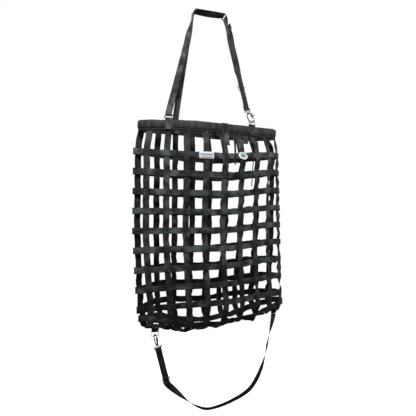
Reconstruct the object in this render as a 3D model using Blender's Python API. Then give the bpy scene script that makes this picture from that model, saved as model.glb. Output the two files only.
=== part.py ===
"""A slow-feed hay bag of 1 inch webbing: an interlaced net under a thick bound rim, a V-shaped hanging
strap with metal rings and a bolt snap, and a second strap slung under the bottom with its own snap.

Metres, +Z up. The origin is in the middle of the top handle's band, where a hook carries the bag.
+X runs along the mouth and -Y faces the front. Every strap is a solid of its own.
"""

import bisect
import math

import bmesh
import bpy
from mathutils import Matrix, Vector

# Webbing
WEBBING = 0.0254  # width of every strap
THICK = 0.0015  # thickness of every strap
LAY = 0.00105  # from the net's surface to a strap's middle, where two straps cross
HALF_PATCH = 0.0135  # half of the flat, sewn square at a crossing
GAP = 0.0005  # left between pieces that touch

# The net
PITCH = 0.0762  # between straps, both ways
UPRIGHTS = 9  # straps that run down the front, under the bottom and up the back
ROWS = 9  # hoops round the sides; one more runs round the bottom edge
AROUND = 2 * UPRIGHTS * PITCH
FIRST_UPRIGHT = 0.0532  # from the left fold to the first upright
ROW_1 = -0.597  # height of the first hoop at the left end
RISE = 0.028  # how much higher the hoops are at the right end
BOTTOM_DROP = (0.072, 0.096, 0.116, 0.112, 0.110, 0.104, 0.104, 0.089, 0.074)  # of each upright
BOTTOM_TUCK = (0.010, 0.008, 0.004)  # how far the first uprights lean to the right under the bag
BOTTOM_SQUARENESS = 0.8  # 1 makes a half ellipse, and less makes a fuller bottom
LAST_HOOP_AT = 0.25  # share of an end upright's way under the bag to the tenth hoop
FOLD_REACH = 0.0063  # a hoop starts to turn this far before an end fold

# The bag's plan at some of its rows: length round it, bulge to the front and to the back, shift
# along X, skew of the bulge to the right, squareness, and the radius of its two end folds
PLANS = {
    0: (1.290, 0.068, 0.010, -0.006, 1.20, 0.60, 0.012),
    1: (AROUND, 0.107, 0.008, -0.005, 1.35, 0.76, 0.004),
    5: (AROUND, 0.068, 0.008, -0.002, 1.35, 0.76, 0.004),
    9: (AROUND, 0.060, 0.082, 0.009, 1.35, 0.76, 0.004),
}

SPLIT_TO = Vector((0.31, -0.90, 0.27))  # twisted faces are split towards this side

# Rim
RIM_TOP = -0.468
RIM_DROOP = 0.012  # the left end hangs this much lower
RIM_RISE = 0.013  # the right end stands this much higher
RIM_SAG = 0.006  # the middle, between the rings
RIM_TUBE = 0.031  # height of the padded tube
RIM_LIP = 0.010  # height of the flat lip under it
RIM_HALF_THICK = 0.0047
RIM_LIP_HALF = 0.0015  # half of the lip's thickness
RIM_TUCK = 0.0022  # from the lip down to the uprights' ends
RIM_STRAP_END = -RIM_TUBE - RIM_LIP + 0.002  # foot of the straps over the rim, from its top

# Metal
WIRE = 0.0019  # radius of the rings' wire
RING_INSIDE = 0.027  # a strap's width and a little more
RIM_RING_HEIGHT = 0.018  # between the two bars of a ring that a snap holds
LOW_RING_HEIGHT = 0.0125  # of the left rim rings
TOP_RING_HEIGHT = 0.0125
RING_BAR_LOW = 0.0045  # a rim ring's lower bar above the rim
BAR_CLEARANCE = WIRE + THICK / 2 + GAP  # from a bar's middle to the strap that goes round it
BAR_REACH = 0.010  # how far a strap runs straight on from a bar
SEWN_BACK = 0.065  # of a left leg's end, up beside the leg
SEWN_FROM = 0.018  # where that layer and the leg are straight again above the ring
RING_KEEPER_WIDTH = 0.022  # of the closed web that holds the bottom ring

HANDLE_LEFT = Vector((-0.080, 0.0, -0.0080))
HANDLE_RIGHT = Vector((0.050, 0.0, 0.0020))
SAG = Vector((0.0, 0.0, -0.004))
TOP_BAR = Vector((0.0, 1.0, -0.21)).normalized()  # along the top rings' bars
LEGS_MEET = Vector((-0.119, -0.008, -0.156))  # where the left strap's two legs come together
TWIST_STOPS = (0.0, 0.12, 0.25, 0.36, 0.47, 0.58, 0.70, 0.82, 0.90)  # shares of the way up from there
RIGHT_SLIDE_AT = 0.76  # share of the way down the right leg
# The right leg's two layers by share of the way down: the first goes down, the second comes back up
# against it, swells away from it above the slide, and is folded over at its end
RIGHT_LAYER_DOWN = (0.06, 0.08, 0.10, 0.13, 0.20, 0.30, 0.40, 0.50, 0.53, 0.56, 0.59, 0.64, 0.76, 0.93)
RIGHT_LAYER_SHUT = (0.93, 0.76, 0.64)
RIGHT_LAYER_UP = (
    (0.59, 0.0040), (0.56, 0.0065), (0.53, 0.0085), (0.50, 0.0100), (0.40, 0.0120),
    (0.30, 0.0120), (0.20, 0.0100), (0.13, 0.0085), (0.10, 0.0075),
)
RIGHT_FOLDED_END = ((0.078, 0.0075), (0.070, 0.0091), (0.078, 0.0107), (0.130, 0.0122))

FRONT_LEFT_RING = 1  # the upright that each rim ring stands over
REAR_LEFT_RING = 15
FRONT_RIGHT_RING = 6
CLOSURE_AT = 4
CLOSURE_SHIFT = 0.012  # from that upright to the closure, to the right
CLOSURE_STAND_OFF = 0.003  # of its hanging end from the upright

# Bolt snap, from its swivel plate down to the hook, in its own frame
EYE_BAR = 0.0130
PLATE_THICK = 0.0034
HOOK_REACH = 0.0375  # from the plate to the bar that the hook holds
HOOK_WIRE = 0.0026
HOLD_GAP = 0.0016  # between the hook and the ring's bar that it holds
BOLT_SIDE = 0.0090
BOLT_RADIUS = 0.0023
BOLT_TRAVEL = 0.007
TUBE_RADIUS = 0.0045
BORE_RADIUS = 0.0028
TUBE_TOP = -0.0068  # heights in that frame
TUBE_END = -0.0235
BORE_TOP = -0.0093
BOLT_TOP = -0.0190
BOLT_END = -0.0330
THUMB_AT = -0.0212
SPRING_WIRE = 0.00028

TOP_SNAP_DOWN = Vector((0.379, -0.156, -0.911)).normalized()
TOP_SNAP_TURN = math.radians(25)
BOTTOM_SNAP_UP = Vector((-0.25, 0.0, 0.97)).normalized()
BOTTOM_SNAP_TURN = math.radians(40)

BOTTOM_RING = Vector((-0.2475, 0.003, -1.3105))  # middle of the ring's lower bar
BOTTOM_SLIDE_DOWN = 0.134  # from the bottom snap's eye to the slide
BOTTOM_STRAP_START = Vector((0.3040, 0.006, -1.2720))
# The bottom strap's middle line from its sewn end, and its twist in degrees away from facing front
BOTTOM_ROUTE = (
    ((0.3020, 0.006, -1.285), 5),
    ((0.2930, 0.005, -1.320), 25),
    ((0.2800, 0.004, -1.365), 55),
    ((0.2680, 0.003, -1.410), 75),
    ((0.2550, 0.001, -1.455), 50),
    ((0.2380, 0.000, -1.500), 20),
    ((0.2130, -0.001, -1.545), 10),
    ((0.1796, -0.002, -1.583), 12),
    ((0.1400, -0.003, -1.604), 20),
    ((0.1044, -0.003, -1.616), 26),
    ((0.0640, -0.002, -1.627), 30),
    ((0.0200, 0.000, -1.635), 34),
    ((-0.0250, 0.002, -1.636), 42),
    ((-0.0680, 0.004, -1.618), 62),
    ((-0.1060, 0.005, -1.590), 90),
    ((-0.1400, 0.006, -1.560), 125),
    ((-0.1690, 0.006, -1.533), 155),
)
SLIDE_FRAME = (0.0155, 0.0115)  # half width and half height of an adjuster slide
SLIDE_WIRE = 0.0015
LAYERS = 0.0024  # between the two layers of a doubled strap

# Loose ends
SIDE_TAIL_STAND_OFF = 0.0165  # of the long loose end at the right from the net
SIDE_TAIL_STOPS = (0.0, 1.0, 2.0, 2.7)  # the rows that it passes
INNER_TAILS_AT = (0.598, 0.625)  # shares of the rim's length
INNER_TAIL_STEPS = 4

# Labels
WOVEN_LABEL_HALF = (0.029, 0.0135)
OVAL_LABEL_HALF = (0.0215, 0.0150)
OVAL_LABEL_TILT = math.radians(-18)


# ---------------------------------------------------------------- materials
def material(name, colour, roughness, metallic=0.0):
    made = bpy.data.materials.new(name)
    made.use_nodes = True
    shader = made.node_tree.nodes["Principled BSDF"]
    shader.inputs["Base Color"].default_value = (*colour, 1.0)
    shader.inputs["Roughness"].default_value = roughness
    shader.inputs["Metallic"].default_value = metallic
    return made


def make_materials():
    return {
        "webbing": material("webbing", (0.035, 0.038, 0.036), 0.75),
        "rim": material("rim", (0.040, 0.043, 0.040), 0.75),
        "steel": material("steel", (0.72, 0.71, 0.68), 0.3, 1.0),
        "slide": material("slide", (0.03, 0.03, 0.03), 0.45),
        "label": material("label", (0.85, 0.86, 0.86), 0.6),
    }


# ---------------------------------------------------------------- solids
def add(name, mesh, look, matrix=None):
    mesh.materials.clear()
    mesh.materials.append(look)
    thing = bpy.data.objects.new(name, mesh)
    if matrix is not None:
        thing.matrix_world = matrix
    bpy.context.scene.collection.objects.link(thing)
    return thing


def mesh_from(name, work):
    bmesh.ops.recalc_face_normals(work, faces=work.faces)
    mesh = bpy.data.meshes.new(name)
    work.to_mesh(mesh)
    work.free()
    return mesh


def add_split(work, a, b, c, d):
    """Two triangles for a face that may be twisted. The edge between them is the one further to the
    front, so both faces of a strap, and layers that lie together, are all split alike."""
    if (a.co + c.co - b.co - d.co).dot(SPLIT_TO) > 0:
        work.faces.new((a, b, c))
        work.faces.new((a, c, d))
    else:
        work.faces.new((a, b, d))
        work.faces.new((b, c, d))


def loft_mesh(name, rings, closed):
    """A solid through rings of points that all have the same number of corners."""
    work = bmesh.new()
    loops = [[work.verts.new(point) for point in ring] for ring in rings]
    count = len(loops[0])
    pairs = list(zip(loops, loops[1:]))
    if closed:
        pairs.append((loops[-1], loops[0]))
    for low, high in pairs:
        for i in range(count):
            j = (i + 1) % count
            add_split(work, low[i], low[j], high[j], high[i])
    if not closed:
        work.faces.new(loops[0])
        work.faces.new(loops[-1])
    return mesh_from(name, work)


def headings(points, closed):
    """The direction of travel at each point of a line, and how much a corner there has to be widened."""
    found = []
    last = len(points) - 1
    for i, point in enumerate(points):
        before = points[i - 1] if i > 0 or closed else None
        after = points[(i + 1) % len(points)] if i < last or closed else None
        came = (point - before).normalized() if before is not None else None
        goes = (after - point).normalized() if after is not None else None
        came = goes if came is None else came
        goes = came if goes is None else goes
        heading = (came + goes).normalized()
        found.append((heading, 1 / max(heading.dot(goes), 0.6)))
    return found


def ribbon(name, stations, look, closed=False, width=WEBBING):
    """A strap: stations are (middle, side), and side is the unit vector across the strap."""
    rings = []
    ways = headings([middle for middle, _ in stations], closed)
    for (middle, side), (heading, wider) in zip(stations, ways):
        face = heading.cross(side).normalized() * (THICK / 2 * wider)
        edge = side * (width / 2)
        rings.append([middle + edge + face, middle - edge + face, middle - edge - face, middle + edge - face])
    return add(name, loft_mesh(name, rings, closed), look)


def tube_mesh(name, points, radius, sides=8, closed=False):
    """A round wire along a line. Its section is carried along without twisting."""
    ways = headings(points, closed)
    across = ways[0][0].orthogonal().normalized()
    rings = []
    for point, (heading, _) in zip(points, ways):
        across = (across - heading * across.dot(heading)).normalized()
        other = heading.cross(across)
        ring = []
        for i in range(sides):
            turn = 2 * math.pi * i / sides
            ring.append(point + (across * math.cos(turn) + other * math.sin(turn)) * radius)
        rings.append(ring)
    return loft_mesh(name, rings, closed)


def box_mesh(name, low, high):
    work = bmesh.new()
    bmesh.ops.create_cube(work, size=1.0)
    for vert in work.verts:
        for k in range(3):
            vert.co[k] = low[k] if vert.co[k] < 0 else high[k]
    return mesh_from(name, work)


def combined(name, first, joined=(), cut=()):
    """One closed mesh: first with some meshes joined to it and then others cut from it."""
    scene = bpy.context.scene.collection
    base = bpy.data.objects.new(name + "_base", first)
    scene.objects.link(base)
    helpers = []
    for operation, meshes in (("UNION", joined), ("DIFFERENCE", cut)):
        for mesh in meshes:
            helper = bpy.data.objects.new(name + "_helper", mesh)
            scene.objects.link(helper)
            helpers.append(helper)
            modifier = base.modifiers.new(operation, "BOOLEAN")
            modifier.operation = operation
            modifier.object = helper
    bpy.context.view_layer.update()
    graph = bpy.context.evaluated_depsgraph_get()
    made = bpy.data.meshes.new_from_object(base.evaluated_get(graph))
    made.name = name
    for thing in [base, *helpers]:
        bpy.data.objects.remove(thing)
    return made


def turned_to(at, down, side):
    """A frame whose -Z is down and whose X is as near side as it can be."""
    up = -down.normalized()
    x = (side - up * side.dot(up)).normalized()
    y = up.cross(x)
    rows = Matrix((x, y, up)).transposed().to_4x4()
    return Matrix.Translation(at) @ rows


# ---------------------------------------------------------------- the bag's shape
class Line:
    """A line through points that gives the point at any share of its length. Shares past 1 start again."""

    def __init__(self, points):
        self.points = points
        self.along = [0.0]
        for a, b in zip(points, points[1:]):
            self.along.append(self.along[-1] + (b - a).length)
        self.length = self.along[-1]

    def at(self, share):
        goal = (share % 1.0) * self.length
        high = bisect.bisect_right(self.along, goal)
        low = high - 1
        t = (goal - self.along[low]) / (self.along[high] - self.along[low])
        return self.points[low].lerp(self.points[high], t)


def outline(width, front, back, shift, skew, square, fold):
    """The bag's outline at one height, from its left fold along the front and back again."""
    steps = 200
    front_side = []
    back_side = []
    for i in range(steps + 1):
        u = (1 - math.cos(math.pi * i / steps)) / 2
        bulge = abs(math.sin(math.pi * u**skew)) ** square
        near_end = min(1.0, min(u, 1 - u) * width / fold)
        end = fold * math.sqrt(max(0.0, 1 - (1 - near_end) ** 2))
        x = (u - 0.5) * width + shift
        front_side.append(Vector((x, -front * bulge - end)))
        back_side.append(Vector((x, back * bulge + end)))
    return Line(front_side + back_side[::-1][1:])


def plan_of_row(row):
    """The outline whose length round is the one wanted, found by halving the range of its width."""
    keys = sorted(PLANS)
    lower = max(key for key in keys if key <= row and key != keys[-1])
    upper = keys[keys.index(lower) + 1]
    t = (row - lower) / (upper - lower)
    around, *form = [a + (b - a) * t for a, b in zip(PLANS[lower], PLANS[upper])]
    low, high = 0.3 * around, 0.5 * around
    for _ in range(24):
        width = (low + high) / 2
        made = outline(width, *form)
        if made.length > around:
            high = width
        else:
            low = width
    return made


def smooth(x, start, end):
    t = min(1.0, max(0.0, (x - start) / (end - start)))
    return t * t * (3 - 2 * t)


def bezier(a, b, c, d):
    def point(t):
        u = 1 - t
        return a * u**3 + b * (3 * u * u * t) + c * (3 * u * t * t) + d * t**3

    return point


def rim_z(x):
    ends = RIM_RISE * smooth(x, 0.16, 0.33) - RIM_DROOP * smooth(-x, 0.05, 0.32)
    return RIM_TOP + ends - RIM_SAG * smooth(x, -0.25, -0.02) * smooth(-x, -0.19, -0.02)


def row_z(row, x, y):
    """The height of a hoop. Hoops rise to the right, and the lowest ones rise at the back left."""
    z = ROW_1 - (row - 1) * PITCH
    z += RISE * smooth(x, -0.02, 0.33)
    z += (0.0035 * (row - 1) - 0.012) * (1 - (x / 0.34) ** 2)
    lifted = max(0.0, row - 6) / 3 * 0.020
    return z + lifted * smooth(-x, 0.0, 0.25) * smooth(y, 0.0, 0.03)


SHARES = [(FIRST_UPRIGHT + i * PITCH) / AROUND for i in range(2 * UPRIGHTS)]


class Net:
    """Where the straps cross. A crossing is (middle, across, up, out): along its hoop, up its upright
    and away from the bag."""

    def __init__(self):
        self.plans = {row: plan_of_row(row) for row in range(ROWS + 1)}
        self.bottoms = [self.bottom_curve(k) for k in range(UPRIGHTS)]

    def surface(self, row, share):
        x, y = self.plans[row].at(share)
        if row == 0:
            return Vector((x, y, rim_z(x) - RIM_TUBE - RIM_LIP))
        return Vector((x, y, row_z(row, x, y)))

    def bottom_curve(self, k):
        """An upright's way from its last crossing in front, under the bag, to its last one behind."""
        front = self.surface(ROWS, SHARES[k])
        back = self.surface(ROWS, SHARES[2 * UPRIGHTS - 1 - k])
        middle = (front + back) / 2
        reach = (front - back) / 2
        points = []
        for step in range(61):
            turn = math.pi * step / 60
            out = math.copysign(abs(math.cos(turn)) ** BOTTOM_SQUARENESS, math.cos(turn))
            down = BOTTOM_DROP[k] * abs(math.sin(turn)) ** BOTTOM_SQUARENESS
            tuck = BOTTOM_TUCK[k] * math.sin(turn) if k < len(BOTTOM_TUCK) else 0.0
            points.append(middle + reach * out + Vector((tuck, 0, -down)))
        return Line(points)

    def crossing(self, row, i):
        share = SHARES[i]
        step = 0.004 / AROUND
        middle = self.surface(row, share)
        across = self.surface(row, share + step) - self.surface(row, share - step)
        above = self.surface(row - 1, share)
        return self.square(middle, across, above - self.below(row, i))

    def below(self, row, i):
        if row < ROWS:
            return self.surface(row + 1, SHARES[i])
        if i < UPRIGHTS:
            return self.bottoms[i].at(0.08)
        return self.bottoms[2 * UPRIGHTS - 1 - i].at(0.92)

    def bottom_share(self, k, spot):
        """How far along its bottom curve an upright meets the tenth hoop, or the strap underneath."""
        if spot == "under":
            return 0.5
        share = LAST_HOOP_AT + 0.05 * math.sin(math.pi * k / (UPRIGHTS - 1))
        return share if spot == "front" else 1 - share

    def bottom_crossing(self, k, spot):
        """A crossing on an upright's bottom curve: in front, under or behind."""
        share = self.bottom_share(k, spot)
        here = self.bottoms[k].at(share)
        left = max(k - 1, 0)
        right = min(k + 1, UPRIGHTS - 1)
        across = self.bottoms[right].at(self.bottom_share(right, spot))
        across = across - self.bottoms[left].at(self.bottom_share(left, spot))
        up = self.bottoms[k].at(share - 0.02) - self.bottoms[k].at(share + 0.02)
        if spot == "back":
            return self.square(here, -across, -up)
        return self.square(here, across, up)

    @staticmethod
    def square(middle, across, up):
        across = across.normalized()
        out = across.cross(up).normalized()
        return middle, across, out.cross(across), out


def over(row, i):
    """Whether the hoop passes outside the upright."""
    return (row + i) % 2 == 0


# ---------------------------------------------------------------- the net's straps
def hoop(net, row, look):
    stations = []
    for i in range(2 * UPRIGHTS):
        middle, across, up, out = net.crossing(row, i)
        middle = middle + out * (LAY if over(row, i) else -LAY)
        stations.append((middle - across * HALF_PATCH, up))
        stations.append((middle + across * HALF_PATCH, up))
        if i in (UPRIGHTS - 1, 2 * UPRIGHTS - 1):
            fold = 0.5 if i == UPRIGHTS - 1 else 1.0
            stations += fold_stations(net, row, fold)
    return ribbon(f"hoop_strap_{row}", stations, look["webbing"], closed=True)


def fold_stations(net, row, share):
    """Round one end fold, from a little before it to a little after."""
    reach = FOLD_REACH / AROUND
    up = Vector((0, 0, 1))
    return [(net.surface(row, share + reach * t), up) for t in (-1.0, -0.5, 0.0, 0.5, 1.0)]


def last_hoop(net, look):
    """The tenth hoop, round the bottom edge. It is gathered, so it is shorter than the others."""
    row = ROWS + 1
    stations = []
    for i in range(2 * UPRIGHTS):
        front = i < UPRIGHTS
        k = i if front else 2 * UPRIGHTS - 1 - i
        middle, across, up, out = net.bottom_crossing(k, "front" if front else "back")
        middle = middle + out * (LAY if over(row, i) else -LAY)
        stations.append((middle - across * HALF_PATCH, up))
        stations.append((middle + across * HALF_PATCH, up))
        if i in (UPRIGHTS - 1, 2 * UPRIGHTS - 1):
            stations += end_turn(net, k)
    return ribbon(f"hoop_strap_{row}", stations, look["webbing"], closed=True)


def end_turn(net, k):
    """The tenth hoop's way round one end of the bag, from its patch on one side to its patch behind."""
    spots = ("front", "back") if k else ("back", "front")
    start, start_way, start_up, _ = net.bottom_crossing(k, spots[0])
    end, end_way, end_up, _ = net.bottom_crossing(k, spots[1])
    start = start + start_way * HALF_PATCH
    end = end - end_way * HALF_PATCH
    pull = (end - start).length * 0.6
    line = bezier(start, start + start_way * pull, end - end_way * pull, end)
    return [(line(t), start_up.lerp(end_up, t).normalized()) for t in (0.2, 0.35, 0.5, 0.65, 0.8)]


def upright(net, k, look):
    stations = []
    top = net.surface(0, SHARES[k])
    first = net.crossing(1, k)
    stations.append((top - Vector((0, 0, RIM_TUCK)), first[1]))
    for row in range(1, ROWS + 1):
        stations += upright_patch(net.crossing(row, k), over(row, k))
    back = 2 * UPRIGHTS - 1 - k
    spots = {"front": over(ROWS + 1, k), "under": k == 0, "back": over(ROWS + 1, back)}
    for spot, inside in spots.items():
        patch = upright_patch(net.bottom_crossing(k, spot), inside)
        stations += patch[::-1] if spot == "back" else patch
    for row in range(ROWS, 0, -1):
        stations += upright_patch(net.crossing(row, back), over(row, back))[::-1]
    top = net.surface(0, SHARES[back])
    stations.append((top - Vector((0, 0, RIM_TUCK)), net.crossing(1, back)[1]))
    turned = []
    for middle, side in stations:
        if turned and side.dot(turned[-1][1]) < 0:
            side = -side
        turned.append((middle, side))
    return ribbon(f"upright_strap_{k + 1}", turned, look["webbing"])


def upright_patch(crossing, inside):
    middle, across, up, out = crossing
    middle = middle + out * (-LAY if inside else LAY)
    return [(middle + up * HALF_PATCH, across), (middle - up * HALF_PATCH, across)]


def bottom_line(net, k):
    """Where the lengthwise strap crosses an upright: inside it, but outside the first one."""
    middle, across, up, out = net.bottom_crossing(k, "under")
    return middle - out * (-LAY if k == 0 else LAY), across, up, out


def lengthwise_strap(net, look):
    """Runs along the bottom inside the uprights. Its right end turns down to carry the bottom strap."""
    stations = []
    for k in range(UPRIGHTS):
        middle, across, up, _ = bottom_line(net, k)
        stations.append((middle - across * HALF_PATCH, up))
        stations.append((middle + across * HALF_PATCH, up))
    return ribbon("lengthwise_strap", stations, look["webbing"])


# ---------------------------------------------------------------- rim
def rim_section():
    """The rim's section from the lip's edge round: (outwards, up), with the top at 0."""
    t = RIM_HALF_THICK
    bottom = -RIM_TUBE - RIM_LIP
    right = [
        (RIM_LIP_HALF, bottom),
        (RIM_LIP_HALF, -RIM_TUBE),
        (0.85 * t, -RIM_TUBE + 0.004),
        (t, -RIM_TUBE / 2),
        (0.85 * t, -0.004),
        (0.3 * t, 0.0),
    ]
    return right + [(-out, up) for out, up in right[::-1]]


def rim_binding(net, look):
    plan = net.plans[0]
    marks = [i / 36 for i in range(36) if i not in (0, 18)]
    fold = 0.016 / plan.length
    for end in (0.5, 1.0):
        marks += [end + fold * t for t in (-1.0, -0.5, 0.0, 0.5, 1.0)]
    marks = sorted(mark % 1.0 for mark in marks)
    step = 0.002 / plan.length
    rings = []
    for mark in marks:
        x, y = plan.at(mark)
        way = plan.at(mark + step) - plan.at(mark - step)
        out = Vector((way.y, -way.x, 0)).normalized()
        top = Vector((x, y, rim_z(x)))
        rings.append([top + out * o + Vector((0, 0, up)) for o, up in rim_section()])
    return add("rim_binding", loft_mesh("rim_binding", rings, True), look["rim"])


def rim_place(net, i):
    """The rim's top over an upright: (middle, along, out)."""
    plan = net.plans[0]
    step = 0.002 / plan.length
    x, y = plan.at(SHARES[i])
    along = (plan.at(SHARES[i] + step) - plan.at(SHARES[i] - step)).normalized()
    along = Vector((along.x, along.y, 0))
    return Vector((x, y, rim_z(x))), along, Vector((along.y, -along.x, 0))


def rim_keeper(net, name, i, look):
    """A web over the rim that holds a ring's lower bar: up the outside, round the bar, down the inside."""
    top, along, out = rim_place(net, i)
    face = RIM_HALF_THICK + THICK / 2 + 1.6 * GAP
    bar = RING_BAR_LOW + BAR_CLEARANCE
    outside = [(face, RIM_STRAP_END), (face, 0.002), (0.75 * face, bar - 0.001), (0.3 * face, bar)]
    inside = [(-o, up) for o, up in outside[::-1]]
    stations = [(top + out * o + Vector((0, 0, up)), along) for o, up in outside + inside]
    return ribbon(name, stations, look["webbing"])


def ring_mesh(name, across, up, height):
    """A rectangular ring round the origin: its bars run across, and are this far apart along up."""
    wide = RING_INSIDE / 2 + WIRE
    tall = height / 2
    corner = 0.0018
    points = []
    for sx, sy in ((1, 1), (-1, 1), (-1, -1), (1, -1)):
        a = across * sx * wide + up * sy * (tall - corner)
        b = across * sx * (wide - corner) + up * sy * tall
        points += [a, b] if sx == sy else [b, a]
    return tube_mesh(name, points, WIRE, closed=True)


def ring(name, middle, across, up, height, look):
    return add(name, ring_mesh(name, across, up, height), look["steel"], Matrix.Translation(middle))


def rim_ring_height(i):
    return RIM_RING_HEIGHT if i == FRONT_RIGHT_RING else LOW_RING_HEIGHT


def rim_ring(net, name, i, look):
    top, along, _ = rim_place(net, i)
    up = Vector((0, 0, 1))
    height = rim_ring_height(i)
    return ring(name, top + up * (RING_BAR_LOW + height / 2), along, up, height, look)


def rim_ring_bar(net, i):
    """The middle of a rim ring's upper bar, and its direction."""
    top, along, _ = rim_place(net, i)
    return top + Vector((0, 0, RING_BAR_LOW + rim_ring_height(i))), along


# ---------------------------------------------------------------- hanging strap
def along_bar(bar, start, radius, first_turn, last_turn, other):
    """Points round a bar in the plane of start and other, from one angle to another in degrees."""
    found = []
    for step in range(5):
        angle = math.radians(first_turn + (last_turn - first_turn) * step / 4)
        found.append(bar + (start * math.cos(angle) + other * math.sin(angle)) * radius)
    return found


def top_handle(look):
    """A flat band of webbing round both top rings; its lower run sags a little."""
    way = (HANDLE_RIGHT - HANDLE_LEFT).normalized()
    side = square_to(way, TOP_BAR)
    up = way.cross(side)
    line = along_bar(HANDLE_RIGHT, way, BAR_CLEARANCE, 90, -90, up)
    for t in (0.8, 0.6, 0.4, 0.2):
        line.append(HANDLE_LEFT.lerp(HANDLE_RIGHT, t) - up * BAR_CLEARANCE + SAG * math.sin(math.pi * t))
    line += along_bar(HANDLE_LEFT, way, BAR_CLEARANCE, 270, 90, up)
    return ribbon("top_handle", [(point, side) for point in line], look["webbing"], closed=True)


def top_ring_bars(end):
    """A top ring's handle bar and the bar that its leg goes round, which is further out and lower."""
    handle_bar, outwards = (HANDLE_LEFT, -1) if end == "left" else (HANDLE_RIGHT, 1)
    away = square_to(TOP_BAR, Vector((0.53 * outwards, 0, -0.85)))
    return handle_bar, handle_bar + away * TOP_RING_HEIGHT


def top_ring(end, look):
    upper, lower = top_ring_bars(end)
    up = (upper - lower).normalized()
    return ring(f"{end}_top_ring", (upper + lower) / 2, TOP_BAR, up, TOP_RING_HEIGHT, look)


def square_to(way, side):
    return (side - way * side.dot(way)).normalized()


def turned_side(way, side, angle):
    """side turned about way."""
    return Matrix.Rotation(angle, 3, way) @ square_to(way, side)


def loop_round(bar, axis, away, first):
    """A strap's stations in to a bar on one face, round it and out on the other face.

    The strap lies along the bar's axis and leaves it along away; it arrives on the face away x axis
    if first is 1, and on the other face if first is -1."""
    away = square_to(axis, away)
    face = away.cross(axis) * first
    points = [bar + away * BAR_REACH + face * BAR_CLEARANCE]
    points += along_bar(bar, face, BAR_CLEARANCE, 0, -180, away)
    points.append(bar + away * BAR_REACH - face * BAR_CLEARANCE)
    return [(point, axis) for point in points]


def rim_ring_end(net, i, toward, first):
    """A leg's loop round a rim ring's upper bar, and the sewn layer's end beside the leg."""
    bar, along = rim_ring_bar(net, i)
    axis = along if along.x < 0 else -along
    loop = loop_round(bar, axis, toward - bar, first)
    foot = bar + square_to(axis, toward - bar) * BAR_REACH
    way = (toward - foot).normalized()
    side = square_to(way, axis)
    face = way.cross(side) * first * LAYERS / 2
    sewn = [(foot + way * up_leg + face, side) for up_leg in (SEWN_BACK, SEWN_FROM)]
    return sewn + loop, (foot + way * SEWN_FROM - face, side)


def left_hanger(net, look):
    """One strap through the left top ring: its two ends go to the front and the rear rim ring."""
    upper = top_ring_bars("left")[1]
    high = TOP_BAR
    spread = (upper - LEGS_MEET).normalized()
    low = square_to(spread, Vector((-1, 0.3, 0)))
    stations = []
    for ring_at, first in ((FRONT_LEFT_RING, -1), (REAR_LEFT_RING, 1)):
        end, above = rim_ring_end(net, ring_at, LEGS_MEET, first)
        leg = end + [above]
        for t in (0.3, 0.6):
            side = above[1].lerp(low, smooth(t, 0.3, 1.0)).normalized()
            leg.append((above[0].lerp(LEGS_MEET, t), side))
        for t in TWIST_STOPS:
            side = square_to(spread, low.lerp(high, smooth(t, 0.0, 0.9)))
            face = spread.cross(side) * -first
            leg.append((LEGS_MEET.lerp(upper, t) + face * LAYERS / 2, side))
        stations += leg if first < 0 else leg[::-1]
        if first < 0:
            stations += loop_round(upper, high, LEGS_MEET - upper, -1)
    return ribbon("left_hanging_strap", stations, look["webbing"])


def top_snap_place(net):
    """The top snap's plate and eye bar, its way down, and the direction of the eye's bar."""
    bar, along = rim_ring_bar(net, FRONT_RIGHT_RING)
    plate = bar - TOP_SNAP_DOWN * HOOK_REACH
    return plate, plate - TOP_SNAP_DOWN * EYE_BAR, TOP_SNAP_DOWN, square_to(TOP_SNAP_DOWN, along)


def right_leg(net):
    """The right leg's top, its way down and its length, between the two loops."""
    upper = top_ring_bars("right")[1]
    lower = top_snap_place(net)[1]
    return upper, (lower - upper).normalized(), (lower - upper).length


def right_leg_side(t, way, side_low):
    """Across the right leg: along the top ring's bar at first, half turned, then along the snap's eye."""
    high = square_to(way, TOP_BAR)
    low = square_to(way, side_low)
    half = (high + low).normalized()
    return square_to(way, high.lerp(half, smooth(t, 0.13, 0.30)).lerp(low, smooth(t, 0.5, 0.64)))


def right_hanger(net, look):
    """A doubled strap from the right top ring down through the snap's eye and back up to a folded end."""
    upper, way, length = right_leg(net)
    lower = top_snap_place(net)[1]
    eye_side = -top_snap_place(net)[3]

    def station(t, out):
        side = right_leg_side(t, way, eye_side)
        return upper + way * (t * length) + way.cross(side) * out, side

    stations = [station(RIGHT_LAYER_DOWN[0], LAYERS / 2 + GAP)]
    stations += loop_round(upper, TOP_BAR, way, 1)
    stations += [station(t, -LAYERS / 2) for t in RIGHT_LAYER_DOWN]
    stations += loop_round(lower, eye_side, -way, 1)
    stations += [station(t, LAYERS / 2) for t in RIGHT_LAYER_SHUT]
    stations += [station(t, out) for t, out in RIGHT_LAYER_UP + RIGHT_FOLDED_END]
    return ribbon("right_hanging_strap", stations, look["webbing"])


def slide_mesh(name, layers):
    """An adjuster slide round the origin: its strap runs along Z, and lies flat across X.

    Two bars pass behind the strap and the middle bar in front of it, so it runs freely along it."""
    wide, tall = SLIDE_FRAME
    depth = (layers - 1) * LAYERS / 2 + THICK / 2 + GAP + SLIDE_WIRE
    corner = 0.003
    frame = []
    for sx, sz in ((1, 1), (-1, 1), (-1, -1), (1, -1)):
        a = Vector((sx * wide, depth, sz * (tall - corner)))
        b = Vector((sx * (wide - corner), depth, sz * tall))
        frame += [a, b] if sx == sz else [b, a]
    bar = [Vector((sx * wide, sy * depth, 0)) for sx, sy in ((-1, 1), (-1, -1), (1, -1), (1, 1))]
    outer = tube_mesh(name + "_frame", frame, SLIDE_WIRE, closed=True)
    return combined(name, outer, joined=[tube_mesh(name + "_bar", bar, 0.93 * SLIDE_WIRE, sides=6)])


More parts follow.
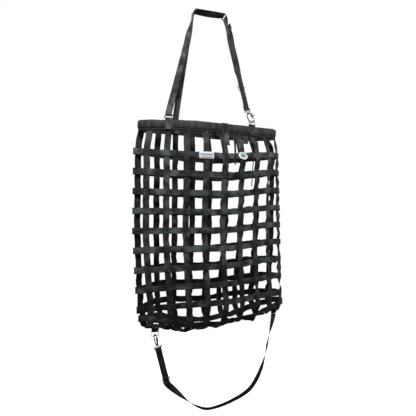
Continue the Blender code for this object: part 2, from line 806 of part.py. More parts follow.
def slide(name, at, way, side, layers, look):
    """way runs up the strap, and the middle bar is on the side of way x side."""
    x = square_to(way, side)
    y = way.cross(x)
    rows = Matrix((x, y, way)).transposed().to_4x4()
    return add(name, slide_mesh(name, layers), look["slide"], Matrix.Translation(at) @ rows)


def right_slide(net, look):
    upper, way, length = right_leg(net)
    side = right_leg_side(RIGHT_SLIDE_AT, way, -top_snap_place(net)[3])
    at = upper + way * (RIGHT_SLIDE_AT * length)
    return slide("right_strap_slide", at, -way, -side, 2, look)


# ---------------------------------------------------------------- bolt snaps
def cylinder_mesh(name, start, end, radius, sides=12):
    return tube_mesh(name, [Vector(start), Vector(end)], radius, sides)


def eye_mesh(name):
    """The swivel eye: a rectangular loop for the strap on a stem that is headed under the plate."""
    low = 0.0048
    loop = ring_mesh(name, Vector((1, 0, 0)), Vector((0, 0, 1)), EYE_BAR - low)
    for vert in loop.vertices:
        vert.co.z += (EYE_BAR + low) / 2
    stem = cylinder_mesh(name, (0, 0, low), (0, 0, -0.0060), 0.0016)
    head = cylinder_mesh(name, (0, 0, -0.0040), (0, 0, -0.0062), 0.0031)
    return combined(name, loop, joined=[stem, head])


def hook_mesh(name):
    """The hook body: plate, hook, and the tube beside it that holds the bolt."""
    side = BOLT_SIDE
    plate = cylinder_mesh(name, (0, 0, 0), (0, 0, -PLATE_THICK), 0.0064, 16)
    bottom = -HOOK_REACH - WIRE - HOLD_GAP - HOOK_WIRE
    route = (
        (0.0052, -0.0017), (0.0082, -0.0050), (0.0105, -0.0115), (0.0112, -0.0210), (0.0108, -0.0320),
        (0.0076, bottom + 0.0028), (0.0, bottom), (-0.0062, bottom + 0.0020), (-side, bottom + 0.0072),
    )
    hook = tube_mesh(name, [Vector((x, 0, z)) for x, z in route], HOOK_WIRE)
    arm = tube_mesh(name, [Vector((-0.0052, 0, -0.0017)), Vector((-side, 0, -0.0085))], HOOK_WIRE)
    tube = cylinder_mesh(name, (-side, 0, TUBE_TOP), (-side, 0, TUBE_END), TUBE_RADIUS)
    bore = cylinder_mesh(name, (-side, 0, BORE_TOP), (-side, 0, TUBE_END - 0.002), BORE_RADIUS)
    hole = cylinder_mesh(name, (0, 0, 0.004), (0, 0, -PLATE_THICK - 0.001), 0.0021)
    slot_top = THUMB_AT + BOLT_TRAVEL + 0.0018
    slot = box_mesh(name, (-side - 0.006, -0.0018, TUBE_END - 0.002), (-side, 0.0018, slot_top))
    return combined(name, plate, joined=[hook, arm, tube], cut=[bore, hole, slot])


def bolt_mesh(name):
    """The bolt and its thumb knob."""
    side = BOLT_SIDE
    rod = cylinder_mesh(name, (-side, 0, BOLT_TOP), (-side, 0, BOLT_END), BOLT_RADIUS)
    stem = cylinder_mesh(name, (-side, 0, THUMB_AT), (-side - 0.0065, 0, THUMB_AT), 0.0013, 8)
    knob = cylinder_mesh(name, (-side - 0.0060, 0, THUMB_AT), (-side - 0.0092, 0, THUMB_AT), 0.0028, 10)
    return combined(name, rod, joined=[stem, knob])


def spring_mesh(name):
    """The bolt's spring, drawn pressed short so that the bolt's whole travel is clear of it."""
    turns, per_turn, pitch = 2, 10, 0.0008
    radius = BORE_RADIUS - GAP - SPRING_WIRE
    line = []
    for i in range(turns * per_turn + 1):
        angle = 2 * math.pi * i / per_turn
        z = BORE_TOP - GAP - SPRING_WIRE - pitch * i / per_turn
        line.append(Vector((-BOLT_SIDE + radius * math.cos(angle), radius * math.sin(angle), z)))
    return tube_mesh(name, line, SPRING_WIRE, sides=4)


def snap(prefix, plate, down, eye_side, turn, look):
    """A bolt snap of four pieces. The eye's bar lies along eye_side, and the hook is turned from it."""
    eye_at = turned_to(plate, down, eye_side)
    hook_at = eye_at @ Matrix.Rotation(math.pi / 2 + turn, 4, "Z")
    add(f"{prefix}_snap_eye", eye_mesh(f"{prefix}_eye"), look["steel"], eye_at)
    add(f"{prefix}_snap_hook", hook_mesh(f"{prefix}_hook"), look["steel"], hook_at)
    add(f"{prefix}_snap_bolt", bolt_mesh(f"{prefix}_bolt"), look["steel"], hook_at)
    add(f"{prefix}_snap_spring", spring_mesh(f"{prefix}_spring"), look["steel"], hook_at)


# ---------------------------------------------------------------- closure, tails and labels
def closure(net, look):
    """A band over both rims in the middle of the mouth, with a slide on it. Its front end hangs down
    against an upright."""
    face = RIM_HALF_THICK + THICK / 2 + GAP
    over_top = THICK / 2 + GAP
    front, side, front_out = rim_place(net, CLOSURE_AT)
    rear, rear_along, rear_out = rim_place(net, 2 * UPRIGHTS - 1 - CLOSURE_AT)
    rear_side = -rear_along
    up = Vector((0, 0, 1))
    rise = ((face, RIM_STRAP_END), (face, -0.003), (0.55 * face, over_top), (-0.003, over_top))
    front_part = [front + side * CLOSURE_SHIFT + front_out * out + up * z for out, z in rise]
    rear_part = [rear + rear_side * CLOSURE_SHIFT + rear_out * out + up * z for out, z in rise[::-1]]
    middle, _, first_up, first_out = net.crossing(1, CLOSURE_AT)
    low = middle + first_up * HALF_PATCH + first_out * (LAY + CLOSURE_STAND_OFF) + side * CLOSURE_SHIFT
    hanging = [front_part[0].lerp(low, t) for t in (0.62, 0.32)]
    stations = [(point, side) for point in hanging + front_part]
    stations += [(point, rear_side) for point in rear_part]
    ribbon("closure_strap", stations, look["webbing"])
    way = (rear_part[0] - front_part[-1]).normalized()
    slide("closure_slide", front_part[-1] + way * 0.018, way, side, 1, look)


def hanging_end(name, points, side, look):
    return ribbon(name, [(Vector(point), Vector(side).normalized()) for point in points], look["webbing"])


def tails(net, look):
    """The closure's two loose ends and a longer one further right, which lean on the net edge-on, and
    two short ends inside the mouth."""
    edge_on = (0.25, 1, 0)
    first = (
        (-0.010, -0.103, -0.482), (-0.009, -0.107, -0.515), (-0.008, -0.120, -0.560),
        (-0.005, -0.131, -0.605), (0.000, -0.130, -0.650), (0.006, -0.128, -0.686),
    )
    second = (
        (0.042, -0.110, -0.520), (0.040, -0.121, -0.560), (0.037, -0.130, -0.600), (0.037, -0.130, -0.642),
    )
    hanging_end("closure_tail_1", first, edge_on, look)
    hanging_end("closure_tail_2", second, edge_on, look)
    hanging_end("side_tail", side_tail_line(net), (0.40, 0.91, 0), look)
    for number, share in enumerate(INNER_TAILS_AT, start=1):
        x, y = net.plans[0].at(share)
        top = Vector((x, y - RIM_HALF_THICK - THICK / 2 - 2 * GAP, rim_z(x)))
        points = [top + Vector((0, -0.002 * i, -0.008 - 0.016 * i)) for i in range(INNER_TAIL_STEPS)]
        hanging_end(f"inner_tail_{number}", points, (1, 0, 0), look)


def side_tail_line(net):
    """Down the outside of the net, between the sixth upright and the seventh."""
    share = (SHARES[5] + SHARES[6]) / 2
    line = []
    for stop in SIDE_TAIL_STOPS:
        row = min(int(stop), ROWS - 1)
        here = net.surface(row, share).lerp(net.surface(row + 1, share), stop - row)
        way = net.surface(row, share + 0.003) - net.surface(row, share - 0.003)
        out = Vector((way.y, -way.x, 0)).normalized()
        line.append(here + out * SIDE_TAIL_STAND_OFF)
    return line


def label_face(net, i):
    """The outer face of the first hoop over an upright."""
    middle, across, up, out = net.crossing(1, i)
    return middle + out * (LAY + THICK / 2 + GAP), across, up, out


def flat_plate(name, outline, place, thick, look):
    base, across, up, out = place
    rings = []
    for level in (0.0, thick):
        rings.append([base + across * x + up * z + out * level for x, z in outline])
    return add(name, loft_mesh(name, rings, False), look["label"])


def labels(net, look):
    wide, tall = WOVEN_LABEL_HALF
    corners = ((-wide, -tall), (wide, -tall), (wide, tall), (-wide, tall))
    flat_plate("woven_label", corners, label_face(net, 3), 0.0008, look)
    tilt = OVAL_LABEL_TILT
    half_long, half_short = OVAL_LABEL_HALF
    oval = []
    for step in range(20):
        angle = 2 * math.pi * step / 20
        x, z = half_long * math.cos(angle), half_short * math.sin(angle)
        oval.append((x * math.cos(tilt) - z * math.sin(tilt), x * math.sin(tilt) + z * math.cos(tilt)))
    flat_plate("oval_label", oval, label_face(net, 5), 0.0010, look)


# ---------------------------------------------------------------- bottom strap
def bottom_ring(net, look):
    up = Vector((0, 0, 1))
    across = Vector((1, 0, 0))
    middle = BOTTOM_RING + up * (RIM_RING_HEIGHT / 2)
    ring("bottom_ring", middle, across, up, RIM_RING_HEIGHT, look)


def bottom_ring_keeper(net, look):
    """A closed web loop round the lengthwise strap and the bottom ring's upper bar."""
    left, left_along, left_up, _ = bottom_line(net, 0)
    right, right_along, right_up, _ = bottom_line(net, 1)
    left = left + left_along * HALF_PATCH
    right = right - right_along * HALF_PATCH
    t = (BOTTOM_RING.x - left.x) / (right.x - left.x)
    strap = left.lerp(right, t)
    along = (right - left).normalized()
    across = -square_to(along, left_up.lerp(right_up, t))
    down = across.cross(along)
    wide = WEBBING / 2 + THICK + 2 * GAP
    high = 2 * THICK + 2 * GAP
    round_strap = ((-wide, high), (-wide, -high), (wide, -high), (wide, high))
    stations = [(strap + across * y + down * z, along) for y, z in round_strap]
    bar = BOTTOM_RING + Vector((0, 0, RIM_RING_HEIGHT))
    round_bar = ((0.0038, 0.0012), (0.0026, -0.0031), (-0.0026, -0.0031), (-0.0038, 0.0012))
    stations += [(bar + Vector((0, y, z)), Vector((1, 0, 0))) for y, z in round_bar]
    return ribbon("bottom_ring_keeper", stations, look["webbing"], closed=True, width=RING_KEEPER_WIDTH)


def bottom_strap_tab(net, look):
    """The bottom strap's sewn end: flat under the last upright, then down to where the strap swings."""
    middle, across, up, out = net.bottom_crossing(UPRIGHTS - 1, "under")
    face = middle + out * (LAY + THICK + GAP)
    line = [
        face - up * 0.012,
        face + up * 0.004 + out * 0.0004,
        BOTTOM_STRAP_START + Vector((0, 0.002, 0.012)),
        BOTTOM_STRAP_START + Vector((0, 0, 0.005)),
    ]
    return ribbon("bottom_strap_tab", [(point, across) for point in line], look["webbing"])


def bottom_snap_place():
    plate = BOTTOM_RING - BOTTOM_SNAP_UP * HOOK_REACH
    return plate, plate - BOTTOM_SNAP_UP * EYE_BAR


def bottom_strap(look):
    """Hangs from its hinge in a long curve to the slide, then doubled to the bottom snap's eye."""
    _, eye = bottom_snap_place()
    points = [BOTTOM_STRAP_START] + [Vector(point) for point, _ in BOTTOM_ROUTE]
    twists = [0] + [twist for _, twist in BOTTOM_ROUTE]
    stations = []
    for point, twist, (way, _) in zip(points, twists, headings(points, False)):
        flat = Vector((0, 1, 0)).cross(way)
        stations.append((point, turned_side(way, flat, math.radians(-twist))))
    up = BOTTOM_SNAP_UP
    side = square_to(up, Vector((1, 0, 0)))
    if stations[-1][1].dot(side) < 0:
        side = -side
    face = up.cross(side) * LAYERS / 2
    slide_at = BOTTOM_SLIDE_DOWN
    past = SLIDE_FRAME[1] + 0.004
    for down in (slide_at + past, slide_at, 0.080, 0.030):
        stations.append((eye - up * down + face, side))
    stations += loop_round(eye, side, -up, -1)
    for down in (0.030, 0.080, slide_at, slide_at + past):
        stations.append((eye - up * down - face, side))
    ribbon("bottom_strap", stations, look["webbing"])
    slide("bottom_strap_slide", eye - up * slide_at, up, side, 2, look)


# ---------------------------------------------------------------- build
def clear_scene():
    for thing in list(bpy.data.objects):
        bpy.data.objects.remove(thing)


def main():
    clear_scene()
    look = make_materials()
    net = Net()
    rim_binding(net, look)
    for row in range(1, ROWS + 1):
        hoop(net, row, look)
    last_hoop(net, look)
    for k in range(UPRIGHTS):
        upright(net, k, look)
    lengthwise_strap(net, look)
    rim_rings = {
        "front_left": FRONT_LEFT_RING,
        "rear_left": REAR_LEFT_RING,
        "front_right": FRONT_RIGHT_RING,
    }
    for name, i in rim_rings.items():
        rim_keeper(net, f"{name}_keeper", i, look)
        rim_ring(net, f"{name}_ring", i, look)
    top_handle(look)
    for end in ("left", "right"):
        top_ring(end, look)
    left_hanger(net, look)
    right_hanger(net, look)
    right_slide(net, look)
    plate, _, down, eye_side = top_snap_place(net)
    snap("top", plate, down, eye_side, TOP_SNAP_TURN, look)
    closure(net, look)
    tails(net, look)
    labels(net, look)
    bottom_ring(net, look)
    bottom_ring_keeper(net, look)
    bottom_strap_tab(net, look)
    bottom_strap(look)
    snap("bottom", bottom_snap_place()[0], BOTTOM_SNAP_UP, Vector((1, 0, 0)), BOTTOM_SNAP_TURN, look)


main()
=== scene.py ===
"""The looks of the hay bag. Every strap is woven anew along the line of its CAD solid, the metal pieces
are rounded from theirs, and the rim is a padded tube with gathered cloth. All lengths are in metres.
"""

import math

import bmesh
import bpy
from mathutils import Matrix, Vector, noise


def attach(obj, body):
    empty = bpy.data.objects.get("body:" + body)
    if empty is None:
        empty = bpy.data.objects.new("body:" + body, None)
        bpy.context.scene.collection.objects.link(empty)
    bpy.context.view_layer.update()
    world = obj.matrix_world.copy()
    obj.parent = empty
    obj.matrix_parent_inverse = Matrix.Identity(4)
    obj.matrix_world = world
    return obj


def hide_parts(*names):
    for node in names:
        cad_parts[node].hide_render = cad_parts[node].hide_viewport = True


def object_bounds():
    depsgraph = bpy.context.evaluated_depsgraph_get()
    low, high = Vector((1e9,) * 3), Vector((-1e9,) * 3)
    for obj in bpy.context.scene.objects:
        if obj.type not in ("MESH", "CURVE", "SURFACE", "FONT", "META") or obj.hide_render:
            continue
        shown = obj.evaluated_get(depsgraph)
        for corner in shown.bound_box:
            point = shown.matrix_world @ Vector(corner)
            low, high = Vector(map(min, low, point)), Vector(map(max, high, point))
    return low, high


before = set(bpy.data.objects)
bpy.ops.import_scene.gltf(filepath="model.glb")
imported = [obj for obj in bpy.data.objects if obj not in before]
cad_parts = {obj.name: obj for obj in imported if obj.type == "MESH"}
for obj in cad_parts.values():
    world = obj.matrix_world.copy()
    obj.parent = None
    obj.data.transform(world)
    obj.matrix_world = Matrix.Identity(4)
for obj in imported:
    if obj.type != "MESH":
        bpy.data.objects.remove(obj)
cad_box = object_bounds()

# Webbing
WEBBING = 0.0254  # width of the straps
KEEPER_WIDTH = 0.022  # of the narrower web that holds the bottom ring
HALF_THICK = 0.00075
PATCH = 0.027  # length of the flat squares where straps cross
NEAR = 0.004  # two straps whose flat squares are nearer than this are sewn to each other
SEWN_IN = 0.0048  # how far the uprights' ends reach up into the rim's lip
TAB_REACH = 0.0044  # how far the bottom strap's tab reaches down to that strap's end
NET_STEP = 0.006  # between the sections of the net's straps
STRAP_STEP = 0.003  # and of the other straps
WIDTH_MATCH = 4e-6  # how near a mesh edge's length is to the strap's width if it is a cross edge
PATCH_MATCH = 2e-5  # how near two stations' distance is to PATCH if they end a flat square

BAG_FLATNESS = 0.25  # x counts this much against y in the way out of the flat bag

# The most that the net's straps roll, bow, drift sideways and cup between two crossings, and the length
# over which each changes
ROLL, ROLL_RUN = math.radians(24), 0.09
BOW, BOW_RUN = 0.0045, 0.12
DRIFT, DRIFT_RUN = 0.0035, 0.10
CUP, CUP_RUN = 0.0016, 0.07
SLACK_AT_RIGHT, RIGHT_FROM_TO = 0.9, (0.02, 0.20)  # how much more they do so there, and over which x
SLACK_AT_BOTTOM, BOTTOM_FROM_TO = 0.8, (1.05, 1.25)  # and over which depth below the handle

# Thread
THREAD = 0.00038  # radius
STITCH = 0.0034  # from one stitch to the next
LABEL_STITCH = 0.0028
STITCH_GAP = 0.12  # share of that length that is left free at each end of a stitch
BOX_HALF = 0.0095  # half the side of a box stitch
BAR_HALF = 0.0100  # half the length of a row across a strap

# Rim
RIM_TUBE = 0.031  # height of the padded tube
RIM_LIP = 0.010  # height of the flat lip under it
RIM_HALF = 0.0047
RIM_STEP = 0.004
LIP_THICK = 0.0030  # of the lip in the CAD, whose lower edge carries the rim's line
RIM_STITCH_OUT = 0.0014  # from the lip's middle to its seam
RIM_STITCH_DOWN = 0.0035  # from the tube down to the seam
GATHERED_IN = 0.0003  # how much thinner the tube is between its gathers

# The rim's gathers, folds and rises, and the ripples of its cloth: how deep, and over which length
GATHER, GATHER_RUN = 0.0016, 0.010
FOLD, FOLD_RUN = 0.0012, 0.031
LIFT, LIFT_RUN = 0.0016, 0.045
RIPPLE, RIPPLES_PER_METRE = 0.0008, 70.0
RIPPLE_FROM = 0.008  # the height over the seam at which the ripples are at their deepest

# Metal
VOXEL = 0.00042  # of the remesh that rounds the metal pieces
PLATING = 0.0003  # by which the wire rings and eyes are fuller than their CAD solids

# How the black of each kind of webbing leans
COOL = (0.91, 1.00, 1.03)
WARM = (0.97, 1.00, 0.88)
OLIVE = (0.96, 1.00, 0.64)

# The webbing's weave, patches and selvedges, and its colours from deep black to worn grey
WEAVE_ACROSS = 0.0021
WEAVE_ALONG = 0.0017
PATCHES_PER_METRE = 26.0
SELVEDGE_FROM = 0.43 * WEBBING
BLACK_TO_WORN = (
    (0.20, (0.0030, 0.0036, 0.0034)),
    (0.50, (0.0215, 0.0250, 0.0235)),
    (0.85, (0.0780, 0.0860, 0.0820)),
)
WEAVE_SHADE_TONE = 0.30  # what the weave (painted shade in its hollows), the patches, the selvedges (partly painted shade) and the painted shade towards the bottom add to or take off the tone
PATCH_TONE = 2.40
SELVEDGE_SHADE_TONE = 0.28
LOWER_SHADE_TONE = 0.34
TONE_ZERO = 0.80
NYLON_SHEEN = {"Sheen_Weight": 0.05, "Sheen_Roughness": 0.45, "Specular_IOR_Level": 0.3}

# Which look each strap has, if it isn't the plain one
STRAP_LOOKS = {
    "left_hanging_strap": "left_webbing",
    "top_handle": "handle_webbing_painted_light",
    "right_hanging_strap": "right_webbing_painted_shade",
    "bottom_strap": "bottom_webbing",
    "bottom_strap_tab": "bottom_webbing",
}

# Box stitches: where each starts and ends along its strap, from the first end, or from the last if negative
KEEPER_BOXES = ((0.003, 0.026), (-0.026, -0.003))
SEWN_BOXES = {
    "left_hanging_strap": ((0.006, 0.044), (-0.044, -0.006), (0.098, 0.134), (-0.134, -0.098)),
    "right_hanging_strap": ((0.002, 0.014),),
    "top_handle": ((0.040, 0.062),),
    "bottom_strap_tab": ((0.002, 0.022),),
    "closure_strap": (),
    "closure_tail_1": (),
    "closure_tail_2": (),
    "side_tail": (),
    "inner_tail_1": (),
    "inner_tail_2": (),
    "front_left_keeper": KEEPER_BOXES,
    "rear_left_keeper": KEEPER_BOXES,
    "front_right_keeper": KEEPER_BOXES,
}
BOTTOM_BOX = (0.004, 0.026)

# Rows of stitches across a strap, at places counted the same way
WIDE_HEM = (-0.004, -0.012)
NARROW_HEM = (-0.004, -0.010)
HEMS = {
    "closure_strap": (0.004, 0.010, 0.070, *NARROW_HEM),
    "closure_tail_1": WIDE_HEM,
    "closure_tail_2": WIDE_HEM,
    "side_tail": WIDE_HEM,
    "inner_tail_1": NARROW_HEM,
    "inner_tail_2": NARROW_HEM,
    "right_hanging_strap": WIDE_HEM,
}

# The metal pieces, and the CAD body that each rides on
NICKEL_PIECES = {
    "left_top_ring": "bag",
    "right_top_ring": "bag",
    "front_left_ring": "bag",
    "rear_left_ring": "bag",
    "front_right_ring": "bag",
    "bottom_ring": "bag",
    "top_snap_eye": "bag",
    "top_snap_hook": "top_hook",
    "top_snap_bolt": "top_bolt",
    "bottom_snap_eye": "bottom_strap",
    "bottom_snap_hook": "bottom_hook",
    "bottom_snap_bolt": "bottom_bolt",
}
ENAMEL_PIECES = {
    "right_strap_slide": "right_slide",
    "closure_slide": "closure_slide",
    "bottom_strap_slide": "bottom_slide",
}
HOOKED_RINGS = ("front_right_ring", "bottom_ring")  # not made fuller, to leave the hooks room to turn

# Labels, as (share of the way from the middle, height over the CAD face) from the edge inwards
FLAT_LABEL = ((1.0, -0.0008), (1.0, -0.0002), (0.985, 0.0), (0.0005, 0.0))
RIMMED_BADGE = (
    (1.0, -0.0010), (1.0, -0.0002), (0.96, 0.0003), (0.88, 0.0003), (0.84, -0.0002), (0.0005, -0.0001),
)
RAISED_DISC = ((0.50, -0.0002), (0.50, 0.0001), (0.46, 0.0003), (0.0005, 0.0003))
PLATE_STEP = 0.004  # between the points round a plate's edge
LABEL_SEAM = 0.90  # share of the way from a label's middle to its edge
STRIPE_INSET = 0.10  # share of a label's width that is left free at a stripe's ends
STRIPE_LIFT = 0.00012

# Studio: each light's place, its size in metres and its power in watts
BAG_MIDDLE = (0.0, 0.0, -0.80)
LIGHTS = {
    "key": ((-0.70, -1.30, 0.80), 0.5, 46),
    "side": ((2.0, -1.1, 0.5), 0.8, 24),
    "back": ((-1.0, 1.9, 0.7), 1.2, 38),
}
DIM_WHITE = (0.93, 0.97, 1.0, 1.0)  # of the surround, as the bag sees it
FILL = 0.12
FLOOR_DROP = 0.25  # below the lowest point of the bag
FLOOR_RADIUS = 2.4
FLOOR_SIDES = 96
CAMERA_PLACE = (-0.719, -1.527, -0.898)
CAMERA_TURN = math.radians(-25.2)
CAMERA_LENS = 35.19
CAMERA_SHIFT = (-0.0108, 0.0529)


# ---------------------------------------------------------------- reading the straps' lines
def closed_chains(node, width):
    """The mesh edges of this length in a CAD solid, as chains of (end, end) that each close on itself.

    A strap's solid is made of quads between cross edges of its own width, each split into two triangles,
    so a triangle on a cross edge has its third corner on the next cross edge."""
    work = bmesh.new()
    work.from_mesh(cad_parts[node].data)
    bmesh.ops.remove_doubles(work, verts=work.verts, dist=1e-6)
    crossing = cross_edges(work.edges, width)
    owner = {vert: edge for edge in crossing for vert in edge.verts}
    beside = {}
    for edge in crossing:
        third = [v for face in edge.link_faces for v in face.verts if v not in edge.verts]
        beside[edge] = [owner[v] for v in third if v in owner and owner[v] is not edge]
    chains = []
    left = list(crossing)
    while left:
        chain = [left[0]]
        while True:
            onward = [e for e in beside[chain[-1]] if e not in chain]
            if not onward:
                break
            chain.append(onward[0])
        chains.append([(e.verts[0].co.copy(), e.verts[1].co.copy()) for e in chain])
        left = [e for e in left if e not in chain]
    work.free()
    return chains


def cross_edges(edges, width):
    """The edges of this length. A diagonal can have it by chance, but each corner has one cross edge."""
    near = [edge for edge in edges if abs(edge.calc_length() - width) < WIDTH_MATCH]
    kept = []
    while near:
        ends = [vert for edge in near for vert in edge.verts]
        sure = [edge for edge in near if any(ends.count(vert) == 1 for vert in edge.verts)]
        nearest = min(sure or near, key=lambda edge: abs(edge.calc_length() - width))
        kept.append(nearest)
        near = [edge for edge in near if not set(edge.verts) & set(nearest.verts)]
    return kept


def middle_of(pair):
    """The middle of a cross edge."""
    return (pair[0] + pair[1]) / 2


def pairing_cost(first, second):
    """How far apart two chains' cross edges are, taken in step."""
    return sum((middle_of(a) - middle_of(b)).length for a, b in zip(first, second))


def two_faces(node, width):
    """The cross edges of a strap's two faces, in step with each other, and whether the strap is a loop."""
    chains = closed_chains(node, width)
    if len(chains) == 2:
        first, second = chains
        count = len(first)
        turns = [second[i:] + second[:i] for i in range(count)]
        turns += [turn[::-1] for turn in turns]
        return first, min(turns, key=lambda turn: pairing_cost(first, turn)), True
    ring = chains[0]
    half = len(ring) // 2
    starts = [ring[i:] + ring[:i] for i in range(half)]
    best = min(starts, key=lambda turn: pairing_cost(turn[:half], turn[half:][::-1]))
    return best[:half], best[half:][::-1], False


def strap_line(node, width=WEBBING):
    """A strap's stations (middle, side, face), read from its CAD solid, and whether it is a loop."""
    upper, lower, looped = two_faces(node, width)
    stations = []
    for top, bottom in zip(upper, lower):
        side = (top[1] - top[0]).normalized()
        if stations and side.dot(stations[-1][1]) < 0:
            side = -side
        face = (middle_of(top) - middle_of(bottom)).normalized()
        stations.append(((middle_of(top) + middle_of(bottom)) / 2, side, face))
    return stations, looped


# ---------------------------------------------------------------- smooth lines
def is_flat(a, b):
    """Whether these two stations end a flat square."""
    return abs((b[0] - a[0]).length - PATCH) < PATCH_MATCH


def tangents(stations, looped):
    """The heading at each station: along its flat square if it ends one, else between its neighbours."""
    count = len(stations)
    found = []
    for i in range(count):
        before = stations[i - 1] if i > 0 or looped else None
        after = stations[(i + 1) % count] if i < count - 1 or looped else None
        came = stations[i][0] - before[0] if before else None
        goes = after[0] - stations[i][0] if after else None
        if before and is_flat(before, stations[i]):
            found.append(came.normalized())
        elif after and is_flat(stations[i], after):
            found.append(goes.normalized())
        elif came is None or goes is None:
            found.append((goes or came).normalized())
        else:
            found.append((came + goes).normalized())
    return found


def curve_between(a, b, way_a, way_b):
    """A cubic from a to b with these headings."""
    reach = (b - a).length

    def point(t):
        h1 = 2 * t**3 - 3 * t**2 + 1
        h2 = t**3 - 2 * t**2 + t
        h3 = 3 * t**2 - 2 * t**3
        h4 = t**3 - t**2
        return a * h1 + way_a * (reach * h2) + b * h3 + way_b * (reach * h4)

    return point


def smooth_line(stations, looped, step):
    """Close samples (middle, side, face, freedom): freedom is 0 on flat squares and 1 midway between."""
    ways = tangents(stations, looped)
    count = len(stations)
    samples = []
    for i in range(count if looped else count - 1):
        j = (i + 1) % count
        a, b = stations[i], stations[j]
        flat = is_flat(a, b)
        line = curve_between(a[0], b[0], ways[i], ways[j])
        steps = max(1, round((b[0] - a[0]).length / step))
        side_b = b[1] if a[1].dot(b[1]) > 0 else -b[1]
        face_b = b[2] if a[2].dot(b[2]) > 0 else -b[2]
        for k in range(steps):
            t = k / steps
            freedom = 0.0 if flat else math.sin(math.pi * t) ** 2
            samples.append((line(t), a[1].lerp(side_b, t), a[2].lerp(face_b, t), freedom))
    if not looped:
        last = stations[-1]
        samples.append((last[0], last[1], last[2], 0.0))
    return samples


# ---------------------------------------------------------------- woven straps
def web_section(width):
    """The upper half of a strap's section, from one edge nearly to the other: (across, height as a share
    of half the thickness)."""
    half = width / 2
    selvedge = [(half, 0.0), (half - 0.0003, 0.65), (half - 0.0010, 1.0)]
    inner = [(half * 0.45, 1.0), (-half * 0.45, 1.0)]
    return selvedge + inner + [(-x, h) for x, h in selvedge[:0:-1]]


def wander(seed, along, run):
    """A smooth wander between about -1 and 1, which changes over this length along the strap."""
    return noise.noise(Vector((seed * 7.31, along / run, seed * 1.7)))


def ease(x, start, end):
    """0 before start, 1 past end, and smooth between."""
    t = min(1.0, max(0.0, (x - start) / (end - start)))
    return t * t * (3 - 2 * t)


def looseness(place):
    """The net hangs tidily at the upper left, and slacker at its right and near its bottom."""
    at_right = ease(place.x, *RIGHT_FROM_TO)
    at_bottom = ease(-place.z, *BOTTOM_FROM_TO)
    return 1.0 + SLACK_AT_RIGHT * at_right + SLACK_AT_BOTTOM * at_bottom


def liven(samples, seed):
    """Gives the free runs of a strap the slight rolls, bows and cupping of real webbing."""
    moved = []
    along = 0.0
    for i, (middle, side, face, freedom) in enumerate(samples):
        if i:
            along += (middle - samples[i - 1][0]).length
        amount = looseness(middle) * freedom
        way = side.cross(face).normalized()
        roll = ROLL * amount * wander(seed, along, ROLL_RUN)
        side = Matrix.Rotation(roll, 3, way) @ side
        middle = middle + face * (BOW * amount * wander(seed + 3, along, BOW_RUN))
        middle = middle + side * (DRIFT * amount * wander(seed + 5, along, DRIFT_RUN))
        cup = CUP * amount * wander(seed + 9, along, CUP_RUN)
        moved.append((middle, side, face, cup))
    return moved


def mesh_of(name, work):
    """Turns a working mesh into a finished one."""
    mesh = bpy.data.meshes.new(name)
    work.to_mesh(mesh)
    work.free()
    return mesh


def headings_of(points, looped):
    """The heading at each point, between its neighbours."""
    count = len(points)
    found = []
    for i in range(count):
        before = points[i - 1] if i > 0 or looped else points[0]
        after = points[(i + 1) % count] if i < count - 1 or looped else points[-1]
        found.append((after - before).normalized())
    return found


def weave_strap(name, samples, looped, width=WEBBING):
    """A strap's mesh: a flat section with rounded selvedges, and a map of its width and length."""
    upper = web_section(width)
    section = upper + [(x, -h) for x, h in upper[-2:0:-1]]
    work = bmesh.new()
    cloth = work.loops.layers.uv.new("cloth")
    ways = headings_of([sample[0] for sample in samples], looped)
    rings = []
    marks = []
    along = 0.0
    for i, ((middle, side, _, cup), way) in enumerate(zip(samples, ways)):
        if i:
            along += (middle - samples[i - 1][0]).length
        side = (side - way * side.dot(way)).normalized()
        up = way.cross(side)
        ring = []
        for x, h in section:
            bend = cup * (1 - (2 * x / width) ** 2)
            ring.append(work.verts.new(middle + side * x + up * (h * HALF_THICK + bend)))
        rings.append(ring)
        marks.append(along)
    pairs = [(i, i + 1, marks[i], marks[i + 1]) for i in range(len(rings) - 1)]
    if looped:
        gap = (samples[0][0] - samples[-1][0]).length
        pairs.append((len(rings) - 1, 0, marks[-1], marks[-1] + gap))
    count = len(section)
    for i, j, v_low, v_high in pairs:
        for k in range(count):
            m = (k + 1) % count
            face = work.faces.new((rings[i][k], rings[i][m], rings[j][m], rings[j][k]))
            face.smooth = True
            from_x, to_x = section[k][0], section[m][0]
            places = ((from_x, v_low), (to_x, v_low), (to_x, v_high), (from_x, v_high))
            for loop, (u, v) in zip(face.loops, places):
                loop[cloth].uv = (u, v)
    if not looped:
        work.faces.new(rings[0])
        work.faces.new(rings[-1])
    bmesh.ops.recalc_face_normals(work, faces=work.faces)
    return mesh_of(name, work)


def line_inside(mesh, look):
    """Gives the faces that look towards the bag's middle a much darker copy of the webbing: painted shade
    on the inner faces.
    """
    mesh.materials.append(look)
    for face in mesh.polygons:
        outward = Vector((face.center.x * BAG_FLATNESS, face.center.y, 0))
        if face.normal.dot(outward) < 0:
            face.material_index = 1


def add_piece(name, mesh, look, body, slot, *nodes):
    """Puts a new piece in the scene, on a CAD body, in place of some CAD nodes."""
    mesh.materials.append(look)
    piece = bpy.data.objects.new(name, mesh)
    bpy.context.scene.collection.objects.link(piece)
    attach(piece, body)
    if nodes:
        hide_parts(*nodes)
    return piece


# ---------------------------------------------------------------- stitching
def add_thread(work, start, end, normal):
    """One stitch: a short thread that dives into the cloth at both ends."""
    way = (end - start).normalized()
    across = way.cross(normal)
    rings = []
    for t, height, size in ((0.0, -1.0, 0.5), (0.25, 0.6, 1.0), (0.75, 0.6, 1.0), (1.0, -1.0, 0.5)):
        centre = start.lerp(end, t) + normal * (height * THREAD)
        corners = [across, normal, -across, -normal]
        rings.append([work.verts.new(centre + corner * (THREAD * size)) for corner in corners])
    for low, high in zip(rings, rings[1:]):
        for k in range(4):
            face = work.faces.new((low[k], low[(k + 1) % 4], high[(k + 1) % 4], high[k]))
            face.smooth = True


